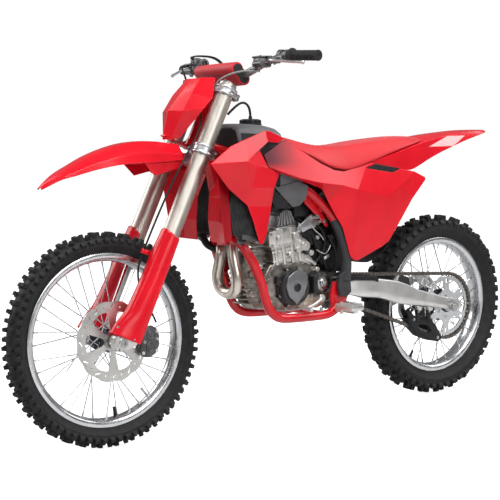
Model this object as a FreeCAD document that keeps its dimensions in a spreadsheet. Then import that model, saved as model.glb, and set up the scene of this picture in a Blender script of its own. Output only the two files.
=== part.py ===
import FreeCAD, Part
import math
import os
import Sketcher

# Motocross bike, full size, in millimetres.
#
# Every piece is drawn in the ground frame: the origin is on the ground under the
# rear axle, +X is forward, +Y is the rider's left and +Z is up.
# Steered pieces are drawn with the wheel straight ahead and are then turned about the
# steering axis by rest_turn.
# Each piece's Placement moves the origin to the rider's place on the seat.

DOC = FreeCAD.newDocument("motocross_bike")
SHEET = DOC.addObject("Spreadsheet::Sheet", "Sizes")
NODES = []

SIZES = [
    # Whole machine.
    ("wheelbase", 1485),
    ("rake", 26.1),
    ("clamp_offset", 22),
    ("lug_offset", 33),
    ("rest_turn", -5.2),
    ("rider_x", 575),
    ("rider_z", 949),
    ("seat_gap", 0.3),
    ("running_gap", 0.4),
    # Front wheel.
    ("front_tyre_height", 67),
    ("front_lug_height", 14),
    ("front_tyre_width", 92),
    ("front_rim_radius", 280),
    ("front_rim_width", 52),
    ("front_pitches", 28),
    ("front_axle_radius", 12.5),
    ("front_axle_bore", 9),
    ("front_hub_width", 66),
    ("front_disc_radius", 130),
    ("front_disc_y", 62),
    ("front_disc_thickness", 3),
    # Rear wheel.
    ("rear_tyre_height", 85),
    ("rear_lug_height", 17),
    ("rear_tyre_width", 118),
    ("rear_rim_radius", 255),
    ("rear_rim_width", 66),
    ("rear_pitches", 26),
    ("rear_axle_radius", 12.5),
    ("rear_axle_bore", 9),
    ("rear_disc_radius", 110),
    ("rear_disc_y", -72),
    ("rear_disc_thickness", 4),
    ("spoke_width", 3.6),
    # Chain drive.
    ("chain_pitch", 15.875),
    ("chain_roller", 10.16),
    ("chain_plate_height", 15),
    ("chain_width", 17),
    ("chain_y", 75),
    ("rear_teeth", 48),
    ("front_teeth", 13),
    ("tooth_gap", 0.8),
    ("tooth_width", 5.5),
    ("drive_shaft_x", 623),
    ("drive_shaft_z", 470),
    # Fork.
    ("fork_spread", 105),
    ("fork_outer_radius", 29),
    ("fork_inner_radius", 24),
    ("fork_top", 916),
    ("fork_outer_bottom", 262),
    ("fork_foot_top", 66),
    ("upper_clamp_bottom", 876),
    ("upper_clamp_thickness", 28),
    ("lower_clamp_bottom", 663),
    ("lower_clamp_thickness", 32),
    ("clamp_wall", 8),
    ("stem_radius", 15),
    ("head_tube_radius", 29),
    ("head_tube_wall", 6),
    # Handlebar.
    ("bar_width", 811),
    ("bar_radius", 11),
    ("bar_clamp_radius", 14.3),
    ("grip_radius", 17),
    ("grip_length", 128),
    # Frame and swingarm.
    ("pivot_x", 560),
    ("pivot_z", 447),
    ("pivot_radius", 10),
    ("frame_tube_radius", 16),
    ("down_tube_radius", 20),
    ("frame_half_width", 105),
    ("swingarm_half_width", 115),
    # Engine.
    ("crank_x", 753),
    ("crank_z", 468),
    ("case_half_width", 58),
    ("cylinder_lean", 8),
    ("cover_radius", 62),
    ("ignition_cover_y", 96),
    ("clutch_cover_y", -118),
]


class Size:
    """A length from the sheet together with the expression that binds it."""

    def __init__(self, value, text):
        self.value = float(value)
        self.text = text

    def __float__(self):
        return self.value

    def __add__(self, other):
        return combine(self, "+", other)

    def __radd__(self, other):
        return combine(other, "+", self)

    def __sub__(self, other):
        return combine(self, "-", other)

    def __rsub__(self, other):
        return combine(other, "-", self)

    def __mul__(self, other):
        return combine(self, "*", other)

    def __rmul__(self, other):
        return combine(other, "*", self)

    def __truediv__(self, other):
        return combine(self, "/", other)

    def __rtruediv__(self, other):
        return combine(other, "/", self)

    def __neg__(self):
        return combine(0, "-", self)


def combine(left, sign, right):
    """Join two sizes or numbers by one arithmetic sign."""
    a = float(left)
    b = float(right)
    value = {"+": a + b, "-": a - b, "*": a * b, "/": a / b if b else 0.0}[sign]
    return Size(value, "(%s %s %s)" % (expression(left), sign, expression(right)))


def expression(size):
    """The text that stands for a size or a plain number in an expression."""
    if isinstance(size, Size):
        return size.text
    return "%.12g" % float(size)


class Sizes:
    """The sheet's cells by name."""


size = Sizes()
for row, (alias, number) in enumerate(SIZES, start=1):
    SHEET.set("A%d" % row, alias)
    SHEET.set("B%d" % row, "%.12g" % number)
    SHEET.setAlias("B%d" % row, alias)
    setattr(size, alias, Size(number, "Sizes." + alias))
DOC.recompute()
size.front_tyre_radius = size.front_rim_radius + size.front_tyre_height
size.rear_tyre_radius = size.rear_rim_radius + size.rear_tyre_height


def vec(x, y, z):
    """A point or a direction."""
    return FreeCAD.Vector(float(x), float(y), float(z))


X = vec(1, 0, 0)
Y = vec(0, 1, 0)
Z = vec(0, 0, 1)
O = vec(0, 0, 0)

# Places that every piece is set from.
RAKE = math.radians(float(size.rake))
FORK_UP = vec(-math.sin(RAKE), 0, math.cos(RAKE))
FORK_FORWARD = vec(math.cos(RAKE), 0, math.sin(RAKE))
FRONT_AXLE = vec(size.wheelbase, 0, size.front_tyre_radius)
REAR_AXLE = vec(0, 0, size.rear_tyre_radius)
AXLE_OFFSET = size.clamp_offset + size.lug_offset
STEERING_FOOT = FRONT_AXLE - FORK_FORWARD * float(AXLE_OFFSET)

# The typed places of the steered pieces and of the chassis were drawn at these sizes.
# The steered pieces follow the fork as one, and the chassis follows the steering head,
# the pivot and the rear axle.
DRAWN_RAKE = 26.1
DRAWN_AXLE = vec(1485, 0, 347)
DRAWN_OFFSET = 55
DRAWN_PIVOT_X = 560
DRAWN_REAR_AXLE_Z = 340
HEAD_HEIGHT = 580
DRAWN_UP = vec(-math.sin(math.radians(DRAWN_RAKE)), 0, math.cos(math.radians(DRAWN_RAKE)))
DRAWN_FORWARD = vec(DRAWN_UP.z, 0, -DRAWN_UP.x)
DRAWN_FOOT = DRAWN_AXLE - DRAWN_FORWARD * DRAWN_OFFSET
DRAWN_HEAD = DRAWN_FOOT + DRAWN_UP * (HEAD_HEIGHT / DRAWN_UP.z)
HEAD = STEERING_FOOT + FORK_UP * (HEAD_HEIGHT / FORK_UP.z)


def spot(x, y, z):
    """A typed place on the chassis, carried along with the head, the pivot and the rear axle."""
    x = float(x)
    z = float(z)
    pivot = float(size.pivot_x)
    if x > DRAWN_PIVOT_X:
        share = (x - DRAWN_PIVOT_X) / (DRAWN_HEAD.x - DRAWN_PIVOT_X)
        return vec(pivot + (HEAD.x - pivot) * share, y, z + (HEAD.z - DRAWN_HEAD.z) * share)
    share = min(1.0, max(0.0, 1 - x / DRAWN_PIVOT_X))
    moved = x + (pivot - DRAWN_PIVOT_X) * (1 - share)
    return vec(moved, y, z + (REAR_AXLE.z - DRAWN_REAR_AXLE_Z) * share)


RIDER = spot(size.rider_x, 0, size.rider_z)
DRIVE_SHAFT = spot(size.drive_shaft_x, 0, size.drive_shaft_z)
PIVOT = vec(size.pivot_x, 0, size.pivot_z)


def frame_placement(name):
    """The Placement of the named drawing frame in the finished part."""
    to_rider = FreeCAD.Placement(RIDER * -1, FreeCAD.Rotation())
    turn = FreeCAD.Placement(O, FreeCAD.Rotation(FORK_UP, float(size.rest_turn)), STEERING_FOOT)
    tilt = FreeCAD.Rotation(Y, -float(size.rake))
    lean = FreeCAD.Placement(STEERING_FOOT, FreeCAD.Rotation(Y, DRAWN_RAKE - float(size.rake)))
    if name == "ground":
        return to_rider
    if name == "steered":
        return to_rider * turn * lean * FreeCAD.Placement(DRAWN_FOOT * -1, FreeCAD.Rotation())
    if name == "fork":
        return to_rider * turn * FreeCAD.Placement(STEERING_FOOT, tilt)
    if name == "front_wheel":
        return to_rider * turn * FreeCAD.Placement(FRONT_AXLE, FreeCAD.Rotation())
    if name == "rear_wheel":
        return to_rider * FreeCAD.Placement(REAR_AXLE, FreeCAD.Rotation())
    raise ValueError("no drawing frame is called " + name)


def bind(thing, prop, value):
    """Set a property and tie it to the sheet."""
    if isinstance(value, Size):
        thing.setExpression(prop, value.text)
    else:
        setattr(thing, prop, value)


def node(thing, name, frame):
    """Name a finished piece, place it and put it on the list of sub-parts."""
    thing.Label = name
    thing.Placement = frame_placement(frame)
    NODES.append(thing)
    return thing


def feature(shape, name, frame="ground"):
    """A piece whose shape is worked out from the sheet."""
    thing = DOC.addObject("Part::Feature", name)
    thing.Shape = shape
    return node(thing, name, frame)


def body(name):
    """An empty PartDesign body."""
    return DOC.addObject("PartDesign::Body", name)


def sketch(owner, name, plane, height=0):
    """A sketch on one of the body's own planes, lifted along the plane's normal."""
    made = owner.newObject("Sketcher::SketchObject", name)
    support = [item for item in owner.Origin.OriginFeatures if item.Role == plane][0]
    made.AttachmentSupport = [(support, "")]
    made.MapMode = "FlatFace"
    if isinstance(height, Size):
        made.setExpression("AttachmentOffset.Base.z", height.text)
    elif height:
        made.AttachmentOffset = FreeCAD.Placement(vec(0, 0, height), FreeCAD.Rotation())
    return made


def fix(made, kind, numbers, value):
    """Add one dimension to a sketch and tie it to the sheet."""
    place = made.addConstraint(Sketcher.Constraint(kind, *numbers, float(value)))
    if isinstance(value, Size):
        made.setExpression("Constraints[%d]" % place, value.text)


def outline(made, corners):
    """A closed run of straight edges, each corner set from the sketch's origin."""
    first = made.GeometryCount
    points = [vec(x, y, 0) for x, y in corners]
    count = len(points)
    for i in range(count):
        made.addGeometry(Part.LineSegment(points[i], points[(i + 1) % count]))
    for i in range(count):
        made.addConstraint(Sketcher.Constraint("Coincident", first + i, 2, first + (i + 1) % count, 1))
    for i, (x, y) in enumerate(corners):
        fix(made, "DistanceX", (-1, 1, first + i, 1), x)
        fix(made, "DistanceY", (-1, 1, first + i, 1), y)


def ring(made, x, y, radius):
    """A circle in a sketch."""
    place = made.addGeometry(Part.Circle(vec(x, y, 0), Z, float(radius)))
    fix(made, "DistanceX", (-1, 1, place, 3), x)
    fix(made, "DistanceY", (-1, 1, place, 3), y)
    fix(made, "Radius", (place,), radius)


def tongue(made, radius, spread, root):
    """A tongue that points back from the sketch's origin, its end round about it."""
    angle = math.radians(spread)
    reach = float(radius)
    x = -reach * math.cos(angle)
    y = reach * math.sin(angle)
    arc = made.addGeometry(Part.ArcOfCircle(Part.Circle(O, Z, reach), math.pi - angle, math.pi + angle))
    corners = [vec(x, -y, 0), vec(root, -y, 0), vec(root, y, 0), vec(x, y, 0)]
    for start, end in zip(corners, corners[1:]):
        made.addGeometry(Part.LineSegment(start, end))
    made.addConstraint(Sketcher.Constraint("Coincident", arc, 3, -1, 1))
    for first, end, second, start in ((0, 2, 1, 1), (1, 2, 2, 1), (2, 2, 3, 1), (3, 2, 0, 1)):
        made.addConstraint(Sketcher.Constraint("Coincident", arc + first, end, arc + second, start))
    fix(made, "Radius", (arc,), radius)
    for line, place in ((1, corners[0]), (2, corners[1]), (3, corners[2])):
        fix(made, "DistanceY", (-1, 1, arc + line, 1), place.y)
    fix(made, "DistanceX", (-1, 1, arc + 2, 1), root)
    fix(made, "DistanceX", (-1, 1, arc + 3, 1), root)
    fix(made, "DistanceY", (-1, 1, arc + 3, 2), y)


def around(count, radius, start=0.0, ripple=0.0):
    """Corners evenly spaced on a circle, every second one drawn in by the ripple."""
    corners = []
    for i in range(count):
        angle = math.radians(start + 360.0 * i / count)
        reach = radius - (ripple if i % 2 else 0.0)
        corners.append((reach * math.cos(angle), reach * math.sin(angle)))
    return corners


def pad(owner, profile, length, name="pad", middle=False, back=False):
    """Thicken a sketch."""
    made = owner.newObject("PartDesign::Pad", name)
    made.Profile = profile
    bind(made, "Length", length)
    if middle:
        made.SideType = "Symmetric"
    made.Reversed = back
    return made


def pocket(owner, profile, name="pocket", back=False):
    """Cut a sketch right through."""
    made = owner.newObject("PartDesign::Pocket", name)
    made.Profile = profile
    made.Type = "ThroughAll"
    made.SideType = "Symmetric"
    made.Reversed = back
    return made


def repeat(owner, features, count, axis, name="repeat"):
    """Copy features evenly about one of the body's own axes."""
    made = owner.newObject("PartDesign::PolarPattern", name)
    made.Originals = features
    support = [item for item in owner.Origin.OriginFeatures if item.Role == axis][0]
    made.Axis = (support, [""])
    made.Angle = 360
    bind(made, "Occurrences", count)
    owner.Tip = made
    return made


def flat(points):
    """A flat face through its corners."""
    return Part.Face(Part.makePolygon(list(points) + [points[0]]))


def prism(points, along):
    """A flat outline pushed along a direction."""
    return flat(points).extrude(along)


def side_plate(corners, inner, outer):
    """A plate seen from the side: (x, z) corners, from one y to another."""
    return prism([vec(x, inner, z) for x, z in corners], vec(0, float(outer) - float(inner), 0))


BAR_SIDES = 10


def cylinder(start, end, radius, sides=BAR_SIDES):
    """A bar between two points, many-sided, its corners on the radius."""
    return pipe([start, end], radius, sides)


def bore(start, end, radius, sides=BAR_SIDES):
    """A many-sided hole between two points, its flats on the radius."""
    return pipe([start, end], float(radius) / math.cos(math.pi / sides), sides)


def skin(rings, closed=False):
    """A solid whose flat faces join rings of corners, one ring to the next."""
    faces = []
    count = len(rings[0])
    pairs = list(zip(rings, rings[1:]))
    if closed:
        pairs.append((rings[-1], rings[0]))
    for low, high in pairs:
        for i in range(count):
            j = (i + 1) % count
            corners = [low[i], low[j], high[j], high[i]]
            faces.extend(quad(corners))
    if not closed:
        faces.append(flat(list(reversed(rings[0]))))
        faces.append(flat(rings[-1]))
    shell = Part.Shell(faces)
    solid = Part.Solid(shell)
    if solid.Volume < 0:
        solid.reverse()
    return solid


def quad(corners):
    """One flat face through four corners, or two where they aren't in one plane."""
    a, b, c, d = corners
    normal = (b - a).cross(c - a)
    if normal.Length < 1e-9:
        return [flat([a, c, d])]
    if (c - a).cross(d - a).Length < 1e-9:
        return [flat([a, b, c])]
    normal.normalize()
    if abs((d - a).dot(normal)) < 1e-7:
        return [flat(corners)]
    first = (c - a).Length
    second = (d - b).Length
    if abs(first - second) < 1e-6:
        first += (b + d - a - c).z
    if first < second:
        return [flat([a, b, c]), flat([a, c, d])]
    return [flat([a, b, d]), flat([b, c, d])]


def rounded(points, radius, step=30.0):
    """A route with each corner cut into short chords of an arc."""
    route = [points[0]]
    for before, corner, after in zip(points, points[1:], points[2:]):
        to_before = before - corner
        to_after = after - corner
        turn = math.pi - to_before.getAngle(to_after)
        reach = min(float(radius) * math.tan(turn / 2), 0.45 * min(to_before.Length, to_after.Length))
        real = reach / math.tan(turn / 2)
        first = corner + to_before.normalize() * reach
        last = corner + to_after.normalize() * reach
        middle = corner + (to_before + to_after).normalize() * (real / math.cos(turn / 2))
        pieces = max(1, int(round(math.degrees(turn) / step)))
        axis = (first - middle).cross(last - middle).normalize()
        for i in range(pieces + 1):
            spin = FreeCAD.Rotation(axis, math.degrees(turn) * i / pieces)
            route.append(middle + spin.multVec(first - middle))
    route.append(points[-1])
    return route


def pipe(points, radius, sides=8, end_radius=None):
    """A many-sided tube along a route, its joints cut at half the turn."""
    runs = [(b - a).normalize() for a, b in zip(points, points[1:])]
    side = runs[0].cross(Y)
    if side.Length < 0.1:
        side = runs[0].cross(Z)
    side.normalize()
    up = runs[0].cross(side)
    total = sum((b - a).Length for a, b in zip(points, points[1:]))
    corners = []
    for i in range(sides):
        angle = 2 * math.pi * (i + 0.5) / sides
        corners.append(side * math.cos(angle) + up * math.sin(angle))
    rings = []
    done = 0.0
    current = [points[0] + corner * float(radius) for corner in corners]
    rings.append(current)
    for i, run in enumerate(runs):
        here = points[i + 1]
        done += (points[i + 1] - points[i]).Length
        normal = run if i == len(runs) - 1 else (run + runs[i + 1]).normalize()
        moved = []
        for corner in current:
            reach = (here - corner).dot(normal) / run.dot(normal)
            moved.append(corner + run * reach)
        if end_radius is not None:
            wanted = float(radius) + (float(end_radius) - float(radius)) * done / total
            before = float(radius) + (float(end_radius) - float(radius)) * (done - (points[i + 1] - points[i]).Length) / total
            moved = [here + (corner - here) * (wanted / before) for corner in moved]
        rings.append(moved)
        current = moved
    return skin(rings)


def fuse(shapes):
    """One solid from several that share material."""
    whole = shapes[0]
    if len(shapes) > 1:
        whole = whole.fuse(shapes[1:])
    merged = whole.removeSplitter()
    return merged if merged.isValid() else whole


def mirrored(shape):
    """The same shape on the other side of the machine."""
    return shape.mirror(O, Y)


def both(shape):
    """A shape and its twin on the other side."""
    return Part.makeCompound([shape, mirrored(shape)])


def steer_point(forward, side, up):
    """A ground-frame point from its place along the fork."""
    return STEERING_FOOT + FORK_FORWARD * float(forward) + vec(0, side, 0) + FORK_UP * float(up)


def drawn_point(forward, side, up):
    """A place along the fork, in the frame that the steered pieces are drawn in."""
    return DRAWN_FOOT + DRAWN_FORWARD * float(forward) + Y * float(side) + DRAWN_UP * float(up)


def frame_plate(corners, inner, outer):
    """A plate on the chassis, cut to a side-view outline of typed places."""
    places = [spot(x, 0, z) for x, z in corners]
    return side_plate([(place.x, place.z) for place in places], inner, outer)


HUB_SIDES = 10


def wheel_ring(profile, sides):
    """A many-sided ring about the axle from a profile of (radius, y) corners."""
    rings = []
    for i in range(sides):
        angle = 2 * math.pi * i / sides
        rings.append([vec(float(r) * math.cos(angle), y, float(r) * math.sin(angle)) for r, y in profile])
    return skin(rings, closed=True)


def lug(angle, low, high, length, width):
    """One tread block: tapered, from a (radius, y) place on the carcass to its tip."""
    radial = vec(math.cos(angle), 0, math.sin(angle))
    tangent = vec(-math.sin(angle), 0, math.cos(angle))
    start = radial * low[0] + Y * low[1]
    tip = radial * high[0] + Y * high[1]
    rise = (tip - start).normalize()
    across = tangent.cross(rise).normalize()
    rings = []
    for centre, share in ((start, 1.12), (tip, 1.0)):
        along = tangent * (length / 2 * share)
        aside = across * (width / 2 * share)
        rings.append([centre + along + aside, centre - along + aside,
                      centre - along - aside, centre + along - aside])
    return skin(rings)


def tyre(name, radius, lug_height, width, rim_radius, rim_width, pitches, frame):
    """A knobby tyre: a many-sided carcass with its tread blocks fused on."""
    radius = float(radius)
    half = float(width) / 2
    bead = float(rim_width) / 2
    rim_radius = float(rim_radius)
    crown = radius - float(lug_height)
    count = int(float(pitches))
    gap = float(size.seat_gap)
    side = rim_radius + (crown - rim_radius) * 0.5
    half_profile = [
        (rim_radius - 14 + gap, bead - 5 - gap),
        (rim_radius + gap, bead - gap),
        (side, half - 5),
        (crown - 16, half - 9),
        (crown, half * 0.42),
    ]
    profile = half_profile + [(r, -y) for r, y in reversed(half_profile)]
    carcass = wheel_ring(profile, count)
    flat_share = math.cos(math.pi / count)
    pitch = 2 * math.pi * radius / count
    blocks = []
    for i in range(count):
        angle = 2 * math.pi * (i + 0.5) / count
        low = crown * flat_share - 3
        tip = math.sqrt(radius ** 2 - (pitch * 0.24) ** 2)
        if i % 2:
            blocks.append(lug(angle, (low, 0), (tip, 0), pitch * 0.48, half * 0.62))
            for y in (1, -1):
                start = ((crown - 14) * flat_share, y * (half - 16))
                end = (radius - half * 0.26, y * (half - 6))
                blocks.append(lug(angle, start, end, pitch * 0.44, 18))
        else:
            for y in (1, -1):
                start = (low, y * half * 0.42)
                end = (tip - half * 0.06, y * half * 0.5)
                blocks.append(lug(angle, start, end, pitch * 0.48, half * 0.36))
    return feature(fuse([carcass] + blocks), name, frame)


def rim(name, radius, width, pitches, frame):
    """A wheel rim: bead seat, two flanges and a well that the spokes enter."""
    half = width / 2
    well = radius - 28
    profile = [
        (radius - 16, half), (well, 12), (well, -12), (radius - 16, -half),
        (radius, -half), (radius - 14, -half + 5), (radius - 14, half - 5), (radius, half),
    ]
    corners = [(float(r), float(y)) for r, y in profile]
    return feature(wheel_ring(corners, int(float(pitches))), name, frame)


def laced_hub(name, profile, rim_radius, flange_radius, flange_y, pitches, frame):
    """A turned hub with its spokes fused on, two crossing sets at each flange."""
    hub = wheel_ring(profile, HUB_SIDES)
    rim_reach = (float(rim_radius) - 28) * math.cos(math.pi / int(float(pitches))) - 3 * float(size.seat_gap)
    spokes = []
    for i in range(36):
        side = 1 if i % 2 else -1
        lean = 1 if i % 4 < 2 else -1
        end_angle = 2 * math.pi * i / 36
        start_angle = end_angle + lean * math.radians(56)
        y = side * (float(flange_y) + (3.0 if lean > 0 else -3.0))
        start = vec(float(flange_radius) * math.cos(start_angle), y, float(flange_radius) * math.sin(start_angle))
        end = vec(rim_reach * math.cos(end_angle), side * 5, rim_reach * math.sin(end_angle))
        spokes.append(pipe([start, end], float(size.spoke_width) / math.sqrt(3), 3))
    return feature(fuse([hub] + spokes), name, frame)


def disc(name, radius, y, thickness, inner, windows, slots, ripple, frame):
    """A brake disc: wavy edge, windows round the middle and slots in the band."""
    made = body(name)
    face = sketch(made, name + "_edge", "XZ_Plane", -y - thickness / 2)
    outline(face, around(24, float(radius), 0, ripple))
    outline(face, around(HUB_SIDES, float(inner) / math.cos(math.pi / HUB_SIDES)))
    pad(made, face, thickness)
    volume_check(made)
    window = sketch(made, name + "_window", "XZ_Plane", -y - thickness / 2)
    low = float(inner) + 12
    high = float(radius) - 34
    spread = math.pi / windows * 0.62
    outline(window, [(low * math.cos(-spread), low * math.sin(-spread)),
                     (high * math.cos(-spread * 0.9), high * math.sin(-spread * 0.9)),
                     (high * math.cos(spread * 0.9), high * math.sin(spread * 0.9)),
                     (low * math.cos(spread), low * math.sin(spread))])
    cut = pocket(made, window, name + "_windows")
    repeat(made, [cut], windows, "Y_Axis", name + "_window_ring")
    slot = sketch(made, name + "_slot", "XZ_Plane", -y - thickness / 2)
    near = radius - 27
    outline(slot, [(near, -4), (near, 1), (near + 17, 5), (near + 17, 0)])
    cut = pocket(made, slot, name + "_slots")
    repeat(made, [cut], slots, "Y_Axis", name + "_slot_ring")
    return node(made, name, frame)


def volume_check(made):
    """Build what there is so far, so that the next feature can read it."""
    DOC.recompute()
    if made.Shape.isNull() or made.Shape.Volume <= 0:
        raise RuntimeError(made.Name + " has no volume")
    return made.Shape.Volume


def front_wheel():
    tyre("front_tyre", size.front_tyre_radius, size.front_lug_height, size.front_tyre_width,
         size.front_rim_radius, size.front_rim_width, size.front_pitches, "front_wheel")
    rim("front_rim", size.front_rim_radius, size.front_rim_width, size.front_pitches, "front_wheel")
    bore = float(size.front_axle_radius + size.running_gap) / math.cos(math.pi / HUB_SIDES)
    half = float(size.front_hub_width)
    seat = float(size.front_disc_y - size.front_disc_thickness / 2 - size.seat_gap)
    profile = [
        (bore, half), (19, half), (19, seat), (34, seat), (34, seat - 8), (21, seat - 14),
        (35, 32), (35, 24), (21, 18), (21, -18), (35, -24), (35, -32), (19, -38), (19, -half), (bore, -half),
    ]
    laced_hub("front_hub", profile, size.front_rim_radius, 33, 28, size.front_pitches, "front_wheel")
    disc("front_disc", size.front_disc_radius, size.front_disc_y, size.front_disc_thickness,
         20, 6, 10, 4, "front_wheel")


def rear_wheel():
    tyre("rear_tyre", size.rear_tyre_radius, size.rear_lug_height, size.rear_tyre_width,
         size.rear_rim_radius, size.rear_rim_width, size.rear_pitches, "rear_wheel")
    rim("rear_rim", size.rear_rim_radius, size.rear_rim_width, size.rear_pitches, "rear_wheel")
    bore = float(size.rear_axle_radius + size.running_gap) / math.cos(math.pi / HUB_SIDES)
    left = float(size.chain_y - size.tooth_width / 2 - size.seat_gap)
    right = float(size.rear_disc_y + size.rear_disc_thickness / 2 + size.seat_gap)
    profile = [
        (bore, 84), (24, 84), (24, left), (52, left), (52, left - 10), (30, 50),
        (58, 42), (58, 34), (32, 26), (32, -26), (58, -34), (58, -42), (30, -50), (40, right + 8), (40, right),
        (24, right), (24, -84), (bore, -84),
    ]
    laced_hub("rear_hub", profile, size.rear_rim_radius, 55, 38, size.rear_pitches, "rear_wheel")
    disc("rear_disc", size.rear_disc_radius, size.rear_disc_y, size.rear_disc_thickness,
         25, 5, 8, 4, "rear_wheel")
    made = body("rear_sprocket")
    pitch_radius = size.chain_pitch / (2 * math.sin(math.pi / float(size.rear_teeth)))
    tip = pitch_radius - size.chain_roller / 2 - size.tooth_gap
    teeth = int(float(size.rear_teeth))
    height = -size.chain_y - size.tooth_width / 2
    face = sketch(made, "sprocket_teeth", "XZ_Plane", height)
    outline(face, around(2 * teeth, float(tip), 0, 6))
    outline(face, around(HUB_SIDES, 25 / math.cos(math.pi / HUB_SIDES)))
    pad(made, face, size.tooth_width)
    volume_check(made)
    window = sketch(made, "sprocket_window", "XZ_Plane", height)
    outline(window, [(62 * math.cos(-0.36), 62 * math.sin(-0.36)), (97 * math.cos(-0.40), 97 * math.sin(-0.40)),
                     (97 * math.cos(0.40), 97 * math.sin(0.40)), (62 * math.cos(0.36), 62 * math.sin(0.36))])
    cut = pocket(made, window, "sprocket_windows")
    repeat(made, [cut], 6, "Y_Axis", "sprocket_window_ring")
    node(made, "rear_sprocket", "rear_wheel")


def tangent_angles():
    """The angles at which the chain leaves both sprockets."""
    line = DRIVE_SHAFT - REAR_AXLE
    lean = math.atan2(line.z, line.x)
    spread = math.acos((pitch_circle(size.rear_teeth) - pitch_circle(size.front_teeth)) / line.Length)
    return lean - spread, lean + spread


def pitch_circle(teeth):
    """The radius of the chain's pins on a sprocket."""
    return float(size.chain_pitch) / (2 * math.sin(math.pi / float(teeth)))


def arc_corners(centre, radius, start, end, chords):
    """Corners of chords that touch a circle from outside."""
    step = (end - start) / chords
    reach = radius / math.cos(step / 2)
    return [centre + vec(reach * math.cos(start + step * (k + 0.5)), 0, reach * math.sin(start + step * (k + 0.5)))
            for k in range(chords)]


def moved_loop(points, reach):
    """A closed loop of corners in the side view, its edges moved outwards."""
    count = len(points)
    moved = []
    for i in range(count):
        before = (points[i] - points[i - 1]).normalize()
        after = (points[(i + 1) % count] - points[i]).normalize()
        out = vec(before.z, 0, -before.x) + vec(after.z, 0, -after.x)
        out.normalize()
        share = out.dot(vec(before.z, 0, -before.x))
        moved.append(points[i] + out * (float(reach) / share))
    return moved


def loop_band(path, inner, outer, low, high):
    """A flat band along a closed loop, between two reaches and two y places."""
    across = vec(0, float(high) - float(low), 0)
    lift = vec(0, low, 0)
    outside = prism([p + lift for p in moved_loop(path, outer)], across)
    inside = prism([p + lift for p in moved_loop(path, inner)], across)
    return outside.cut(inside)


def chain():
    low, high = tangent_angles()
    path = arc_corners(DRIVE_SHAFT, pitch_circle(size.front_teeth), low, high, 6)
    path += arc_corners(REAR_AXLE, pitch_circle(size.rear_teeth), high, low + 2 * math.pi, 14)
    half = float(size.chain_width) / 2
    plate = 3.2
    y = float(size.chain_y)
    tall = float(size.chain_plate_height) / 2
    roller = float(size.chain_roller) / 2
    bands = [
        loop_band(path, -tall, tall, y + half - plate, y + half),
        loop_band(path, -tall, tall, y - half, y - half + plate),
        loop_band(path, -roller, roller, y - half + plate, y + half - plate),
    ]
    feature(fuse(bands), "chain")


front_wheel()
rear_wheel()
chain()


BAR_CENTRE = vec(994, 0, 1182)
DRAWN_BAR_END = 405.5


def clamp_outline(front, back, boss):
    """Half of a triple clamp seen from above, from the middle to the left leg and back."""
    x = float(size.clamp_offset)
    y = float(size.fork_spread)
    left = [(front, 0), (front + 6, 34), (x + boss * 0.55, y - boss * 0.95)]
    for angle in (-25, 15, 50, 90, 125, 165):
        left.append((x + boss * math.cos(math.radians(angle)), y + boss * math.sin(math.radians(angle))))
    left += [(x - boss - 16, y + 6), (x - boss - 16, y - 12), (back + 4, 42), (back, 20)]
    right = [(u, -v) for u, v in reversed(left[1:])]
    return left + right


def triple_clamp(name, bottom, thickness, front, back):
    """One clamp of the fork: a forged plate with three bores."""
    made = body(name)
    boss = float(size.fork_outer_radius + size.clamp_wall)
    plan = sketch(made, name + "_plan", "XY_Plane", bottom)
    outline(plan, clamp_outline(front, back, boss))
    pad(made, plan, thickness)
    volume_check(made)
    bores = sketch(made, name + "_bores", "XY_Plane", bottom)
    hole = size.fork_outer_radius + size.seat_gap
    for side in (1, -1):
        corners = around(BAR_SIDES, hole, 180 / BAR_SIDES)
        outline(bores, [(size.clamp_offset + u, side * size.fork_spread + v) for u, v in corners])
    if name == "upper_clamp":
        outline(bores, around(BAR_SIDES, size.stem_radius + size.seat_gap))
    pocket(made, bores, name + "_bore_cut")
    slits = sketch(made, name + "_slits", "XY_Plane", bottom)
    x = float(size.clamp_offset)
    y = float(size.fork_spread)
    for side in (1, -1):
        outline(slits, [(x - boss - 18, side * (y - 4)), (x - 20, side * (y - 4)),
                        (x - 20, side * (y - 1)), (x - boss - 18, side * (y - 1))])
    pocket(made, slits, name + "_slit_cut")
    made.Tip = made.Group[-1]
    return node(made, name, "fork")


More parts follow.
